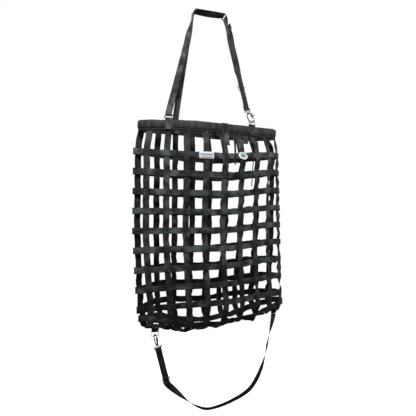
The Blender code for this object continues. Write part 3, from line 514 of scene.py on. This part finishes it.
def add_seam(work, start, end, normal, pitch=STITCH):
    """A row of stitches from start to end."""
    length = (end - start).length
    count = max(1, round(length / pitch))
    for i in range(count):
        a = start.lerp(end, (i + STITCH_GAP) / count)
        b = start.lerp(end, (i + 1 - STITCH_GAP) / count)
        add_thread(work, a, b, normal)


def add_box_stitch(work, centre, way, side, normal):
    """A square of stitches with a cross in it."""
    corners = []
    for x, y in ((-1, -1), (1, -1), (1, 1), (-1, 1)):
        corners.append(centre + way * (x * BOX_HALF) + side * (y * BOX_HALF))
    for a, b in zip(corners, corners[1:] + corners[:1]):
        add_seam(work, a, b, normal)
    add_seam(work, corners[0], corners[2], normal)
    add_seam(work, corners[1], corners[3], normal)


def flat_squares(stations, looped):
    """The middles of a strap's flat squares, each with its heading, side and face."""
    count = len(stations)
    found = []
    for i in range(count if looped else count - 1):
        a, b = stations[i], stations[(i + 1) % count]
        if is_flat(a, b):
            way = (b[0] - a[0]).normalized()
            normal = way.cross(a[1]).normalized()
            found.append(((a[0] + b[0]) / 2, way, a[1], normal))
    return found


def crossing_stitches(squares):
    """Box stitches on the open face of each strap where two straps cross."""
    work = bmesh.new()
    for strap, found in squares.items():
        for centre, way, side, normal in found:
            for other, theirs in squares.items():
                if other == strap:
                    continue
                for place, *_ in theirs:
                    if (place - centre).length < NEAR:
                        free = normal if (centre - place).dot(normal) > 0 else -normal
                        add_box_stitch(work, centre + free * HALF_THICK, way, side, free)
    return mesh_of("crossing_stitches", work)


class Sewing:
    """Stitches on a strap, at distances along it from its first end (or from its last if negative)."""

    def __init__(self, work, samples):
        self.work = work
        self.samples = samples
        self.ways = headings_of([sample[0] for sample in samples], False)
        self.marks = [0.0]
        for before, after in zip(samples, samples[1:]):
            self.marks.append(self.marks[-1] + (after[0] - before[0]).length)

    def spot(self, along, across, face):
        """A point on one face of the strap, and that face's normal."""
        if along < 0:
            along += self.marks[-1]
        i = max(j for j, mark in enumerate(self.marks[:-1]) if mark <= along)
        t = (along - self.marks[i]) / (self.marks[i + 1] - self.marks[i])
        middle = self.samples[i][0].lerp(self.samples[i + 1][0], t)
        side = self.samples[i][1].lerp(self.samples[i + 1][1], t).normalized()
        normal = self.ways[i].cross(side).normalized() * face
        return middle + side * across + normal * HALF_THICK, normal

    def row(self, start, end, face):
        """A row of stitches between two (along, across) places."""
        length = math.dist(start, end)
        count = max(1, round(length / STITCH))
        for i in range(count):
            ends = []
            for t in ((i + STITCH_GAP) / count, (i + 1 - STITCH_GAP) / count):
                along = start[0] + (end[0] - start[0]) * t
                ends.append(self.spot(along, start[1] + (end[1] - start[1]) * t, face))
            add_thread(self.work, ends[0][0], ends[1][0], ends[0][1])

    def box(self, low, high):
        """A box with a cross in it, on both faces."""
        corners = [(low, -BOX_HALF), (high, -BOX_HALF), (high, BOX_HALF), (low, BOX_HALF)]
        lines = list(zip(corners, corners[1:] + corners[:1]))
        lines += [(corners[0], corners[2]), (corners[1], corners[3])]
        for face in (1, -1):
            for start, end in lines:
                self.row(start, end, face)

    def bars(self, places):
        """Rows across the strap, on both faces."""
        for place in places:
            for face in (1, -1):
                self.row((place, -BAR_HALF), (place, BAR_HALF), face)


# ---------------------------------------------------------------- materials
class Nodes:
    """A short way to write a material's node tree. A factor, height or tone is a socket of the tree."""

    def __init__(self, name):
        self.material = bpy.data.materials.new(name)
        self.material.use_nodes = True
        self.tree = self.material.node_tree
        self.shader = self.tree.nodes["Principled BSDF"]

    def add(self, kind, **settings):
        """A new node of this kind."""
        node = self.tree.nodes.new("ShaderNode" + kind)
        for key, value in settings.items():
            setattr(node, key, value)
        return node

    def join(self, source, target):
        self.tree.links.new(source, target)

    def math(self, operation, a, b=0.0):
        """A math node on two sockets or numbers."""
        node = self.add("Math", operation=operation)
        for socket, value in zip(node.inputs, (a, b)):
            if isinstance(value, (int, float)):
                socket.default_value = value
            else:
                self.join(value, socket)
        return node.outputs[0]

    def line(self, value, slope, offset):
        """slope * value + offset"""
        result = self.math("MULTIPLY_ADD", value, slope)
        result.node.inputs[2].default_value = offset
        return result

    def noise(self, scale, detail=3.0, where=None):
        """Noise with this many swings to the metre, at the object's own coordinates unless told where."""
        node = self.add("TexNoise")
        node.inputs["Scale"].default_value = scale
        node.inputs["Detail"].default_value = detail
        if where is None:
            where = self.add("TexCoord").outputs["Object"]
        self.join(where, node.inputs["Vector"])
        return node.outputs["Fac"]

    def ramp(self, factor, *stops):
        """A colour ramp through the stops (place, colour)."""
        node = self.add("ValToRGB")
        ramp = node.color_ramp
        for i, (place, colour) in enumerate(stops):
            stop = ramp.elements[i] if i < 2 else ramp.elements.new(place)
            stop.position = place
            stop.color = (*colour, 1.0)
        self.join(factor, node.inputs["Fac"])
        return node.outputs["Color"]

    def bump(self, height, distance, strength, normal=None):
        """A bump of this many metres, on top of another normal if one is given."""
        node = self.add("Bump")
        node.inputs["Distance"].default_value = distance
        node.inputs["Strength"].default_value = strength
        self.join(height, node.inputs["Height"])
        if normal is not None:
            self.join(normal, node.inputs["Normal"])
        return node.outputs["Normal"]

    def set(self, **values):
        """Puts constants on the shader's own sockets."""
        for key, value in values.items():
            self.shader.inputs[key.replace("_", " ")].default_value = value


def webbing_look(name, shade, tint):
    """Black nylon webbing: a plain weave with paler worn patches, painted shade in the weave's hollows,
    darker selvedges that are partly painted shade, and painted shade towards the bottom of the bag. shade
    scales the whole colour, and tint leans it."""
    look = Nodes(name)
    cloth = look.add("UVMap", uv_map="cloth").outputs["UV"]
    split = look.add("SeparateXYZ")
    look.join(cloth, split.inputs[0])
    across, along = split.outputs[0], split.outputs[1]
    wave_across = look.math("SINE", look.math("MULTIPLY", across, 2 * math.pi / WEAVE_ACROSS))
    wave_along = look.math("SINE", look.math("MULTIPLY", along, 2 * math.pi / WEAVE_ALONG))
    height = look.line(look.math("MULTIPLY", wave_across, wave_along), 0.5, 0.5)
    patches = look.noise(PATCHES_PER_METRE, 4.0)
    edge = look.math("GREATER_THAN", look.math("ABSOLUTE", across), SELVEDGE_FROM)
    # Painted shade and highlight: the weave's hollows are painted darker and its crests paler, following
    # its bump.
    woven = look.math("MULTIPLY", height, WEAVE_SHADE_TONE)
    tone = look.math("ADD", woven, look.math("MULTIPLY", patches, PATCH_TONE))
    # The selvedges are darker, partly for their tighter weave and partly as painted shade along the strap's
    # edges.
    tone = look.math("SUBTRACT", tone, look.math("MULTIPLY", edge, SELVEDGE_SHADE_TONE))
    # Painted shade: the webbing is painted darker towards the bottom of the bag.
    tone = look.math("SUBTRACT", tone, look.math("MULTIPLY", lower_painted_shade_share(look), LOWER_SHADE_TONE))
    tone = look.math("SUBTRACT", tone, TONE_ZERO)
    stops = [(place, tuple(shade * a * b for a, b in zip(rgb, tint))) for place, rgb in BLACK_TO_WORN]
    look.join(look.ramp(tone, *stops), look.shader.inputs["Base Color"])
    look.join(look.bump(height, 0.00035, 0.9), look.shader.inputs["Normal"])
    look.set(Roughness=0.62, **NYLON_SHEEN)
    return look.material


def lower_painted_shade_share(look):
    """Painted shade: 0 down to 0.96 m below the handle and rising to 1 at 1.35 m, where the webbing is
    painted darkest.
    """
    place = look.add("SeparateXYZ")
    look.join(look.add("TexCoord").outputs["Object"], place.inputs[0])
    share = look.line(place.outputs[2], -2.6, -2.5)
    share.node.use_clamp = True
    return share


def rim_look(name, shade):
    """The rim's cover: a finer nylon cloth than the webbing, with soft upright wrinkles whose hollows are
    painted darker and ridges paler.
    """
    look = Nodes(name)
    where = look.add("TexCoord").outputs["Object"]
    grain = look.noise(900.0, 2.0, where)
    upright = look.add("Mapping")
    upright.inputs["Scale"].default_value = (1.0, 1.0, 0.22)
    look.join(where, upright.inputs["Vector"])
    wrinkles = look.noise(60.0, 4.0, upright.outputs["Vector"])
    # Painted shade and highlight: the colour follows the wrinkles' bump, darker in their hollows and paler
    # on their ridges.
    stops = ((0.34, (0.009, 0.011, 0.010)), (0.66, (0.044, 0.049, 0.046)))
    colour = look.ramp(wrinkles, *((place, tuple(shade * c for c in rgb)) for place, rgb in stops))
    look.join(colour, look.shader.inputs["Base Color"])
    fine = look.bump(grain, 0.0002, 0.6)
    look.join(look.bump(wrinkles, 0.0060, 0.6, fine), look.shader.inputs["Normal"])
    look.set(Roughness=0.66, **NYLON_SHEEN)
    return look.material


def thread_look():
    """Dark grey sewing thread."""
    look = Nodes("thread")
    colour = look.ramp(look.noise(120.0), (0.3, (0.050, 0.055, 0.052)), (0.7, (0.100, 0.108, 0.103)))
    look.join(colour, look.shader.inputs["Base Color"])
    look.set(Roughness=0.5)
    return look.material


def nickel_look():
    """Nickel plate with fine scratches and slightly duller patches."""
    look = Nodes("nickel")
    patches = look.noise(140.0, 5.0)
    scratches = look.noise(2400.0, 2.0)
    look.join(look.line(patches, 0.20, 0.30), look.shader.inputs["Roughness"])
    colour = look.ramp(patches, (0.3, (0.15, 0.148, 0.144)), (0.75, (0.31, 0.307, 0.299)))
    look.join(colour, look.shader.inputs["Base Color"])
    look.join(look.bump(scratches, 0.00003, 0.25), look.shader.inputs["Normal"])
    look.set(Metallic=1.0)
    return look.material


def slide_look():
    """Black enamel on a wire slide, rubbed a little in random patches."""
    look = Nodes("black_enamel")
    patches = look.noise(220.0, 4.0)
    colour = look.ramp(patches, (0.45, (0.012, 0.012, 0.012)), (0.8, (0.06, 0.06, 0.058)))
    look.join(colour, look.shader.inputs["Base Color"])
    look.join(look.bump(look.noise(900.0), 0.0001, 0.4), look.shader.inputs["Normal"])
    look.set(Roughness=0.38)
    return look.material


def label_look(name, colour):
    """Label cloth or enamel in one colour, with a fine weave or grain."""
    look = Nodes(name)
    tone = look.noise(900.0, 2.0)
    mixed = look.ramp(tone, (0.3, tuple(0.8 * c for c in colour)), (0.6, colour))
    look.join(mixed, look.shader.inputs["Base Color"])
    look.join(look.bump(tone, 0.0001, 0.5), look.shader.inputs["Normal"])
    look.set(Roughness=0.55)
    return look.material


# ---------------------------------------------------------------- the pieces
def hang_net(looks):
    """The hoops, the uprights and the lengthwise strap, and the stitching where they cross."""
    names = [f"hoop_strap_{n}" for n in range(1, 11)]
    names += [f"upright_strap_{n}" for n in range(1, 10)]
    names += ["lengthwise_strap"]
    squares = {}
    for seed, name in enumerate(names):
        stations, looped = strap_line(name)
        squares[name] = flat_squares(stations, looped)
        look = looks["webbing"]
        if name.startswith("upright"):
            look = looks["upright_webbing_painted_shade"]
            stations = sewn_into_rim(stations)
        samples = liven(smooth_line(stations, looped, NET_STEP), seed)
        mesh = weave_strap(name + "_web", samples, looped)
        add_piece(name + "_web", mesh, look, "bag", "webbing", name)
        line_inside(mesh, looks["inner_webbing_painted_shade"])
    add_piece("crossing_stitches", crossing_stitches(squares), looks["thread"], "bag", "webbing")


def sewn_into_rim(stations):
    """Lengthens both ends of an upright up into the rim's lip."""
    up = Vector((0, 0, SEWN_IN))
    first, last = stations[0], stations[-1]
    return [(first[0] + up, *first[1:]), *stations[1:-1], (last[0] + up, *last[1:])]


def other_straps(looks):
    """The straps that hang, hold rings or are sewn on, and their stitching."""
    work = bmesh.new()
    for name, boxes in SEWN_BOXES.items():
        samples = plain_strap(name, looks, "bag")
        sewing = Sewing(work, samples)
        for low, high in boxes:
            sewing.box(low, high)
        sewing.bars(HEMS.get(name, ()))
    plain_strap("bottom_ring_keeper", looks, "bag", KEEPER_WIDTH)
    add_piece("hanger_stitches", mesh_of("hanger_stitches", work), looks["thread"], "bag", "webbing")
    work = bmesh.new()
    sewing = Sewing(work, plain_strap("bottom_strap", looks, "bottom_strap"))
    sewing.box(*BOTTOM_BOX)
    sewing.bars(WIDE_HEM)
    mesh = mesh_of("bottom_strap_stitches", work)
    add_piece("bottom_strap_stitches", mesh, looks["thread"], "bottom_strap", "webbing")


def plain_strap(name, looks, body, width=WEBBING):
    """Weaves one strap as smoothly as its CAD solid lies, and returns its samples."""
    stations, looped = strap_line(name, width)
    if name == "bottom_strap_tab":
        stations = down_to_the_strap(stations)
    samples = smooth_line(stations, looped, STRAP_STEP)
    mesh = weave_strap(name + "_web", [(m, s, f, 0.0) for m, s, f, _ in samples], looped, width)
    look = looks[STRAP_LOOKS.get(name, "webbing")]
    add_piece(name + "_web", mesh, look, body, "webbing", name)
    return samples


def down_to_the_strap(stations):
    """Lengthens the lower end of the tab until it meets the bottom strap's end."""
    if stations[0][0].z < stations[-1][0].z:
        stations = stations[::-1]
    middle, *turn = stations[-1]
    return [*stations, (middle - Vector((0, 0, TAB_REACH)), *turn)]


def rim_profile(gather):
    """The rim's section from the lip's outer corner up and over to its inner corner: (out, up).

    The tube is fullest at half its height, and gather is how much thicker it is here than elsewhere."""
    t = RIM_HALF + gather
    seam = -RIM_TUBE
    outer = [(0.0013, seam - RIM_LIP), (0.0015, seam - 0.006), (0.0013, seam - 0.001), (0.0016, seam)]
    outer += [(0.55 * t, seam + 0.0012), (0.88 * t, seam + 0.0048), (t, -0.020), (1.02 * t, -0.013)]
    outer += [(0.92 * t, -0.0055), (0.66 * t, -0.0016), (0.25 * t, 0.0)]
    return outer + [(-out, up) for out, up in outer[::-1]]


def rim_line():
    """Close samples along the top of the rim, and the way out of the bag at each."""
    line = []
    for pair in closed_chains("rim_binding", LIP_THICK)[0]:
        middle = middle_of(pair) + Vector((0, 0, RIM_TUBE + RIM_LIP))
        line.append((middle, (pair[1] - pair[0]).normalized(), Vector((0, 0, 1))))
    centre = sum((station[0] for station in line), Vector()) / len(line)
    places = [sample[0] for sample in smooth_line(line, True, RIM_STEP)]
    ways = headings_of(places, True)
    turn = sum((place - centre).cross(way).z for place, way in zip(places, ways))
    outward = [Vector((way.y, -way.x, 0)).normalized() * (1 if turn > 0 else -1) for way in ways]
    return places, outward


def pad_rim(looks):
    """The padded rim along the line of its lip, with gathers in its cloth, and the seam over the lip."""
    places, outward = rim_line()
    work = bmesh.new()
    rings = []
    along = 0.0
    for i, (place, out) in enumerate(zip(places, outward)):
        if i:
            along += (place - places[i - 1]).length
        gather = GATHER * noise.noise(Vector((along / GATHER_RUN, 0.0, 4.0)))
        gather += FOLD * noise.noise(Vector((along / FOLD_RUN, 3.0, 0.0)))
        lift = LIFT * noise.noise(Vector((along / LIFT_RUN, 7.0, 1.0)))
        ring = []
        for o, up in rim_profile(gather - GATHERED_IN):
            spot = place + out * o + Vector((0, 0, up + lift * max(0.0, 1 + up / RIM_TUBE)))
            loose = min(1.0, max(0.0, (up + RIM_TUBE) / RIPPLE_FROM))
            ripple = noise.noise(spot * RIPPLES_PER_METRE) * RIPPLE * loose
            ring.append(work.verts.new(spot + out * ripple))
        rings.append(ring)
    count = len(rings[0])
    for low, high in zip(rings, rings[1:] + rings[:1]):
        for k in range(count):
            m = (k + 1) % count
            face = work.faces.new((low[k], low[m], high[m], high[k]))
            face.smooth = True
    bmesh.ops.recalc_face_normals(work, faces=work.faces)
    mesh = mesh_of("padded_rim", work)
    add_piece("padded_rim", mesh, looks["rim"], "bag", "rim", "rim_binding")
    # The lip under the tube takes a darker copy of the rim cloth: painted shade under the tube.
    mesh.materials.append(looks["lip"])
    shaded_lip_rows = [k for k, (_, up) in enumerate(rim_profile(0.0)) if up < -RIM_TUBE + 0.0005]
    for i, face in enumerate(mesh.polygons):
        if i % count in shaded_lip_rows:
            face.material_index = 1
    seam = rim_seam(places, outward)
    add_piece("rim_stitches", seam, looks["thread"], "bag", "rim")


def rim_seam(places, outward):
    """A stitch on each face of the lip at every sample of the rim's line."""
    work = bmesh.new()
    starts = [place - Vector((0, 0, RIM_TUBE + RIM_STITCH_DOWN)) for place in places]
    for start, end, out in zip(starts, starts[1:] + starts[:1], outward):
        for face in (1, -1):
            offset = out * (RIM_STITCH_OUT * face)
            add_thread(work, start.lerp(end, 0.1) + offset, start.lerp(end, 0.9) + offset, out * face)
    return mesh_of("rim_stitches", work)


def round_metal(looks):
    """Rounds each metal piece from its CAD solid: remeshed finely and smoothed."""
    for pieces, slot in ((NICKEL_PIECES, "steel"), (ENAMEL_PIECES, "slide")):
        for name, body in pieces.items():
            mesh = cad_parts[name].data.copy()
            mesh.materials.clear()
            piece = add_piece(name + "_cast", mesh, looks[slot], body, slot, name)
            fuller = name.endswith(("ring", "eye")) and name not in HOOKED_RINGS
            rounded(piece, PLATING if fuller else 0.0)


def rounded(piece, swelling):
    """Applies a fine voxel remesh and a smoothing to a piece, swells it, and shades it smooth."""
    remesh = piece.modifiers.new("remesh", "REMESH")
    remesh.mode = "VOXEL"
    remesh.voxel_size = VOXEL
    soften = piece.modifiers.new("soften", "SMOOTH")
    soften.factor = 0.5
    soften.iterations = 8
    swell = piece.modifiers.new("swell", "DISPLACE")
    swell.mid_level = 0.0
    swell.strength = swelling
    bpy.context.view_layer.update()
    graph = bpy.context.evaluated_depsgraph_get()
    made = bpy.data.meshes.new_from_object(piece.evaluated_get(graph))
    piece.modifiers.clear()
    piece.data = made
    for face in made.polygons:
        face.use_smooth = True


def label_outline(node):
    """The outer face of a label's CAD solid: its corners in order, their middle and its normal."""
    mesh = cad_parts[node].data
    biggest = max(mesh.polygons, key=lambda face: face.area)
    normal = biggest.normal.copy()
    if normal.dot(biggest.center - Vector((0, 0, biggest.center.z))) < 0:
        normal = -normal
    points = {tuple(round(c, 6) for c in vert.co) for vert in mesh.vertices}
    points = [Vector(point) for point in points]
    outer = max(point.dot(normal) for point in points)
    points = [point for point in points if outer - point.dot(normal) < 0.0002]
    middle = sum(points, Vector()) / len(points)
    first = (points[0] - middle).normalized()
    second = normal.cross(first)
    points.sort(key=lambda point: math.atan2((point - middle).dot(second), (point - middle).dot(first)))
    return points, middle, normal


def plate(name, node, looks, look, steps):
    """A plate in the outline of a label: steps are (share of the way from its middle, height)."""
    points, middle, normal = label_outline(node)
    dense = []
    for a, b in zip(points, points[1:] + points[:1]):
        parts = max(1, round((b - a).length / PLATE_STEP))
        dense += [a.lerp(b, i / parts) for i in range(parts)]
    work = bmesh.new()
    rings = []
    for share, height in steps:
        rings.append([work.verts.new(middle.lerp(point, share) + normal * height) for point in dense])
    count = len(dense)
    for low, high in zip(rings, rings[1:]):
        for k in range(count):
            face = work.faces.new((low[k], low[(k + 1) % count], high[(k + 1) % count], high[k]))
            face.smooth = True
    work.faces.new(rings[0])
    work.faces.new(rings[-1])
    bmesh.ops.recalc_face_normals(work, faces=work.faces)
    covers_label = steps[0][0] == 1.0
    nodes = [node] if covers_label else []
    add_piece(name, mesh_of(name, work), looks[look], "bag", "label", *nodes)


def label_seam(node, looks):
    """The stitching round a label, a little inside its edge."""
    points, middle, normal = label_outline(node)
    work = bmesh.new()
    for a, b in zip(points, points[1:] + points[:1]):
        add_seam(work, middle.lerp(a, LABEL_SEAM), middle.lerp(b, LABEL_SEAM), normal, LABEL_STITCH)
    add_piece("label_stitches", mesh_of("label_stitches", work), looks["label_thread"], "bag", "label")


def label_stripe(name, node, looks, look, low, high):
    """A woven stripe along a label, between two shares of its height."""
    points, _, normal = label_outline(node)
    points.sort(key=lambda point: point.z)
    foot = sorted(points[:2], key=lambda point: point.x)
    head = sorted(points[2:], key=lambda point: point.x)
    work = bmesh.new()
    corners = []
    for side, share in ((0, low), (1, low), (1, high), (0, high)):
        below = foot[side].lerp(foot[1 - side], STRIPE_INSET)
        above = head[side].lerp(head[1 - side], STRIPE_INSET)
        corners.append(work.verts.new(below.lerp(above, share) + normal * STRIPE_LIFT))
    work.faces.new(corners)
    add_piece(name, mesh_of(name, work), looks[look], "bag", "label")


def labels(looks):
    """A woven label with two plain stripes, sewn on, and an oval badge with a raised rim and a green disc.
    Neither carries a mark or any lettering."""
    plate("woven_label_cloth", "woven_label", looks, "label", FLAT_LABEL)
    label_seam("woven_label", looks)
    label_stripe("label_stripe_low", "woven_label", looks, "red_thread", 0.14, 0.26)
    label_stripe("label_stripe_high", "woven_label", looks, "blue_thread", 0.46, 0.74)
    plate("oval_badge", "oval_label", looks, "badge", RIMMED_BADGE)
    plate("oval_badge_disc", "oval_label", looks, "green_enamel", RAISED_DISC)


# ---------------------------------------------------------------- studio
def stage_floor():
    """A white floor that the camera sees, but that throws no light up at the bag."""
    mesh = bpy.data.meshes.new("floor")
    low = cad_box[0][2] - FLOOR_DROP
    turns = [2 * math.pi * i / FLOOR_SIDES for i in range(FLOOR_SIDES)]
    corners = [(FLOOR_RADIUS * math.cos(turn), FLOOR_RADIUS * math.sin(turn), low) for turn in turns]
    mesh.from_pydata(corners, [], [tuple(range(FLOOR_SIDES))])
    look = Nodes("pale_floor")
    look.set(Base_Color=(0.9, 0.9, 0.9, 1.0), Roughness=0.9)
    look.set(Emission_Color=(1.0, 1.0, 1.0, 1.0), Emission_Strength=1.0)
    mesh.materials.append(look.material)
    floor = bpy.data.objects.new("floor", mesh)
    bpy.context.scene.collection.objects.link(floor)
    floor.visible_diffuse = False
    floor.visible_glossy = False


def area_light(name, place, size, power):
    """A square soft box that faces the middle of the bag."""
    light = bpy.data.lights.new(name, "AREA")
    light.size = size
    light.energy = power
    thing = bpy.data.objects.new(name, light)
    thing.location = place
    thing.rotation_euler = (Vector(BAG_MIDDLE) - Vector(place)).to_track_quat("-Z", "Y").to_euler()
    bpy.context.scene.collection.objects.link(thing)


def studio():
    """A white surround for the camera that lights the bag only dimly, and three soft boxes."""
    world = bpy.data.worlds.new("studio")
    bpy.context.scene.world = world
    world.use_nodes = True
    tree = world.node_tree
    seen = tree.nodes["Background"]
    seen.inputs["Color"].default_value = (1.0, 1.0, 1.0, 1.0)
    dim = tree.nodes.new("ShaderNodeBackground")
    dim.inputs["Color"].default_value = DIM_WHITE
    dim.inputs["Strength"].default_value = FILL
    rays = tree.nodes.new("ShaderNodeLightPath")
    mix = tree.nodes.new("ShaderNodeMixShader")
    tree.links.new(rays.outputs["Is Camera Ray"], mix.inputs["Fac"])
    tree.links.new(dim.outputs["Background"], mix.inputs[1])
    tree.links.new(seen.outputs["Background"], mix.inputs[2])
    tree.links.new(mix.outputs["Shader"], tree.nodes["World Output"].inputs["Surface"])
    for name, (place, size, power) in LIGHTS.items():
        area_light(name, place, size, power)
    bpy.context.scene.view_settings.view_transform = "Standard"


def photo_camera():
    """Level, to the left of the bag's front, at about the height of its middle."""
    camera = bpy.data.cameras.new("camera")
    camera.sensor_width = 36.0
    camera.lens = CAMERA_LENS
    camera.shift_x, camera.shift_y = CAMERA_SHIFT
    thing = bpy.data.objects.new("camera", camera)
    thing.location = CAMERA_PLACE
    thing.rotation_euler = (math.radians(90), 0.0, CAMERA_TURN)
    bpy.context.scene.collection.objects.link(thing)
    bpy.context.scene.camera = thing


def all_looks():
    """Every material, by the name that the functions above use."""
    return {
        "webbing": webbing_look("black_webbing", 1.25, COOL),
        # A darker copy for the uprights: painted shade standing in for the weave's different sheen across
        # them.
        "upright_webbing_painted_shade": webbing_look("black_webbing_uprights_painted_shade", 0.8, COOL),
        # A much darker copy of the webbing: painted shade on the straps' inner faces.
        "inner_webbing_painted_shade": webbing_look("black_webbing_inside_painted_shade", 0.2, COOL),
        "left_webbing": webbing_look("black_webbing_left_hanger", 1.1, WARM),
        # A brighter copy for the handle: painted light.
        "handle_webbing_painted_light": webbing_look("black_webbing_handle_painted_light", 1.7, WARM),
        # A much darker copy for the right hanger: painted shade.
        "right_webbing_painted_shade": webbing_look("black_webbing_right_hanger_painted_shade", 0.36, WARM),
        "bottom_webbing": webbing_look("black_webbing_bottom", 1.1, OLIVE),
        "rim": rim_look("rim_cloth", 1.0),
        # A darker copy of the rim cloth for the lip: painted shade under the tube.
        "lip": rim_look("rim_lip_cloth_painted_shade", 0.35),
        "thread": thread_look(),
        "steel": nickel_look(),
        "slide": slide_look(),
        "label": label_look("label_cloth", (0.80, 0.82, 0.82)),
        "label_thread": label_look("label_thread", (0.55, 0.58, 0.60)),
        "red_thread": label_look("red_thread", (0.46, 0.09, 0.07)),
        "blue_thread": label_look("blue_thread", (0.22, 0.36, 0.55)),
        "badge": label_look("badge", (0.85, 0.87, 0.86)),
        "green_enamel": label_look("green_enamel", (0.10, 0.38, 0.33)),
    }


def main():
    """Builds the whole scene: the camera and lights first, then every piece."""
    looks = all_looks()
    photo_camera()
    studio()
    stage_floor()
    hang_net(looks)
    other_straps(looks)
    pad_rim(looks)
    round_metal(looks)
    labels(looks)
    for name in ("top_snap_spring", "bottom_snap_spring"):
        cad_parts[name].data.materials.clear()
        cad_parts[name].data.materials.append(looks["steel"])


main()
